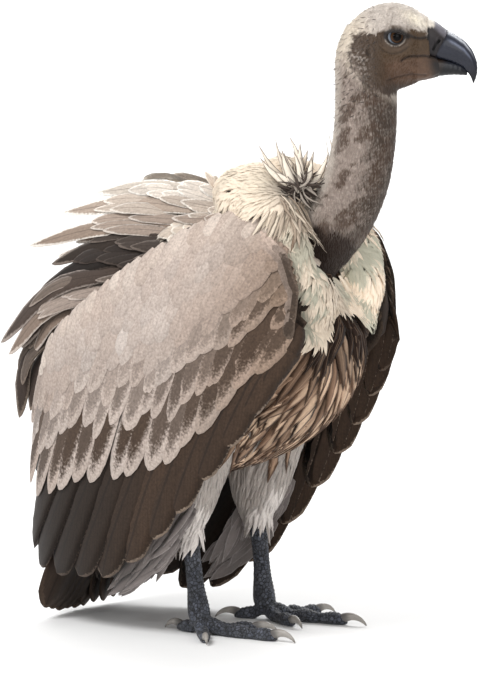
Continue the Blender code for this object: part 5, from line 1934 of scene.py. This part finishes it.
    def build(self) -> None:
        """Grows the whole coat."""
        for part in (self.belly, self.back, self.thighs, self.ruff, self.spikes, self.fuzz, self.bristles):
            part()


# ---- studio
@dataclass(frozen=True)
class Studio:
    """A plain pale floor, soft lights and the camera."""

    azimuth: float = 35.0
    elevation: float = 7.5
    distance: float = 10.0
    tall: float = 0.7308
    aim: tuple[float, float, float] = (0.0, 0.0, 0.2965)
    sensor: float = 36.0
    # Lights: turn from the camera and rise in degrees, distance, size, power and how far behind.
    lights: tuple[tuple, ...] = (
        ("key", -50, 50, 2.4, 1.0, 42.0, 0.0), ("fill", 25, 14, 3.0, 1.6, 22.0, 0.0),
        ("spark", -24, 22, 2.2, 0.1, 4.0, 0.0), ("rim", 150, 45, 2.6, 1.0, 24.0, 0.0),
        ("backdrop", 180, 88, 5.0, 9.0, 900.0, 8.5),
    )

    def stand(self, made: bpy.types.Object, target: Array, turn: float, rise: float, away: float) -> None:
        """Stands a light or the camera off a target, by a turn and a rise in degrees."""
        angle, rise = math.radians(self.azimuth + turn), math.radians(rise)
        way = np.array((math.sin(angle) * math.cos(rise), -math.cos(angle) * math.cos(rise), math.sin(rise)))
        made.location = target + way * away
        made.rotation_euler = Vector(-way).to_track_quat("-Z", "Y").to_euler()

    def build(self) -> None:
        """Makes floor, sky, lights and camera."""
        mesh = bpy.data.meshes.new("studio_floor")
        with edited(mesh) as bm:
            bmesh.ops.create_grid(bm, x_segments=1, y_segments=1, size=30.0)
        mesh.materials.append(FloorFinish().make())
        floor = shown("studio_floor", mesh)
        floor.location = (0, 0, -0.0002)
        world = bpy.data.worlds.new("studio_sky")
        world.use_nodes = True
        sky = world.node_tree.nodes["Background"]
        sky.inputs[0].default_value, sky.inputs[1].default_value = (1, 1, 1, 1), 0.55
        bpy.context.scene.world = world
        bearing = math.radians(self.azimuth)
        back = np.array((-math.sin(bearing), math.cos(bearing), 0))
        for name, turn, rise, away, size, power, behind in self.lights:
            data = bpy.data.lights.new(name, "AREA")
            data.size, data.energy = size, power
            self.stand(shown(name, data), self.aim + SHIFT + back * behind, turn, rise, away)
        data = bpy.data.cameras.new("camera")
        data.sensor_width, data.clip_end = self.sensor, 100.0
        data.lens = self.sensor * self.distance / self.tall
        camera = shown("camera", data)
        self.stand(camera, self.aim + SHIFT * (1, 1, 0), 0.0, self.elevation, self.distance)
        bpy.context.scene.camera = camera
        bpy.context.scene.view_settings.view_transform = "Standard"


def main() -> None:
    """Builds the bird over its solids, then the studio."""
    logging.basicConfig(level=logging.INFO, format="%(name)s %(relativeCreated)6.0f ms  %(message)s")
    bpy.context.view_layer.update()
    Studio().build()
    skin = make_skin()
    Bill().build()
    make_eyes()
    make_lids()
    make_claws()
    for word, side in SIDES.items():
        Wing(word, side).build()
        Plumes(word, side).build()
    Tail().build()
    Coat(skin).build()


if __name__ == "__main__":
    main()
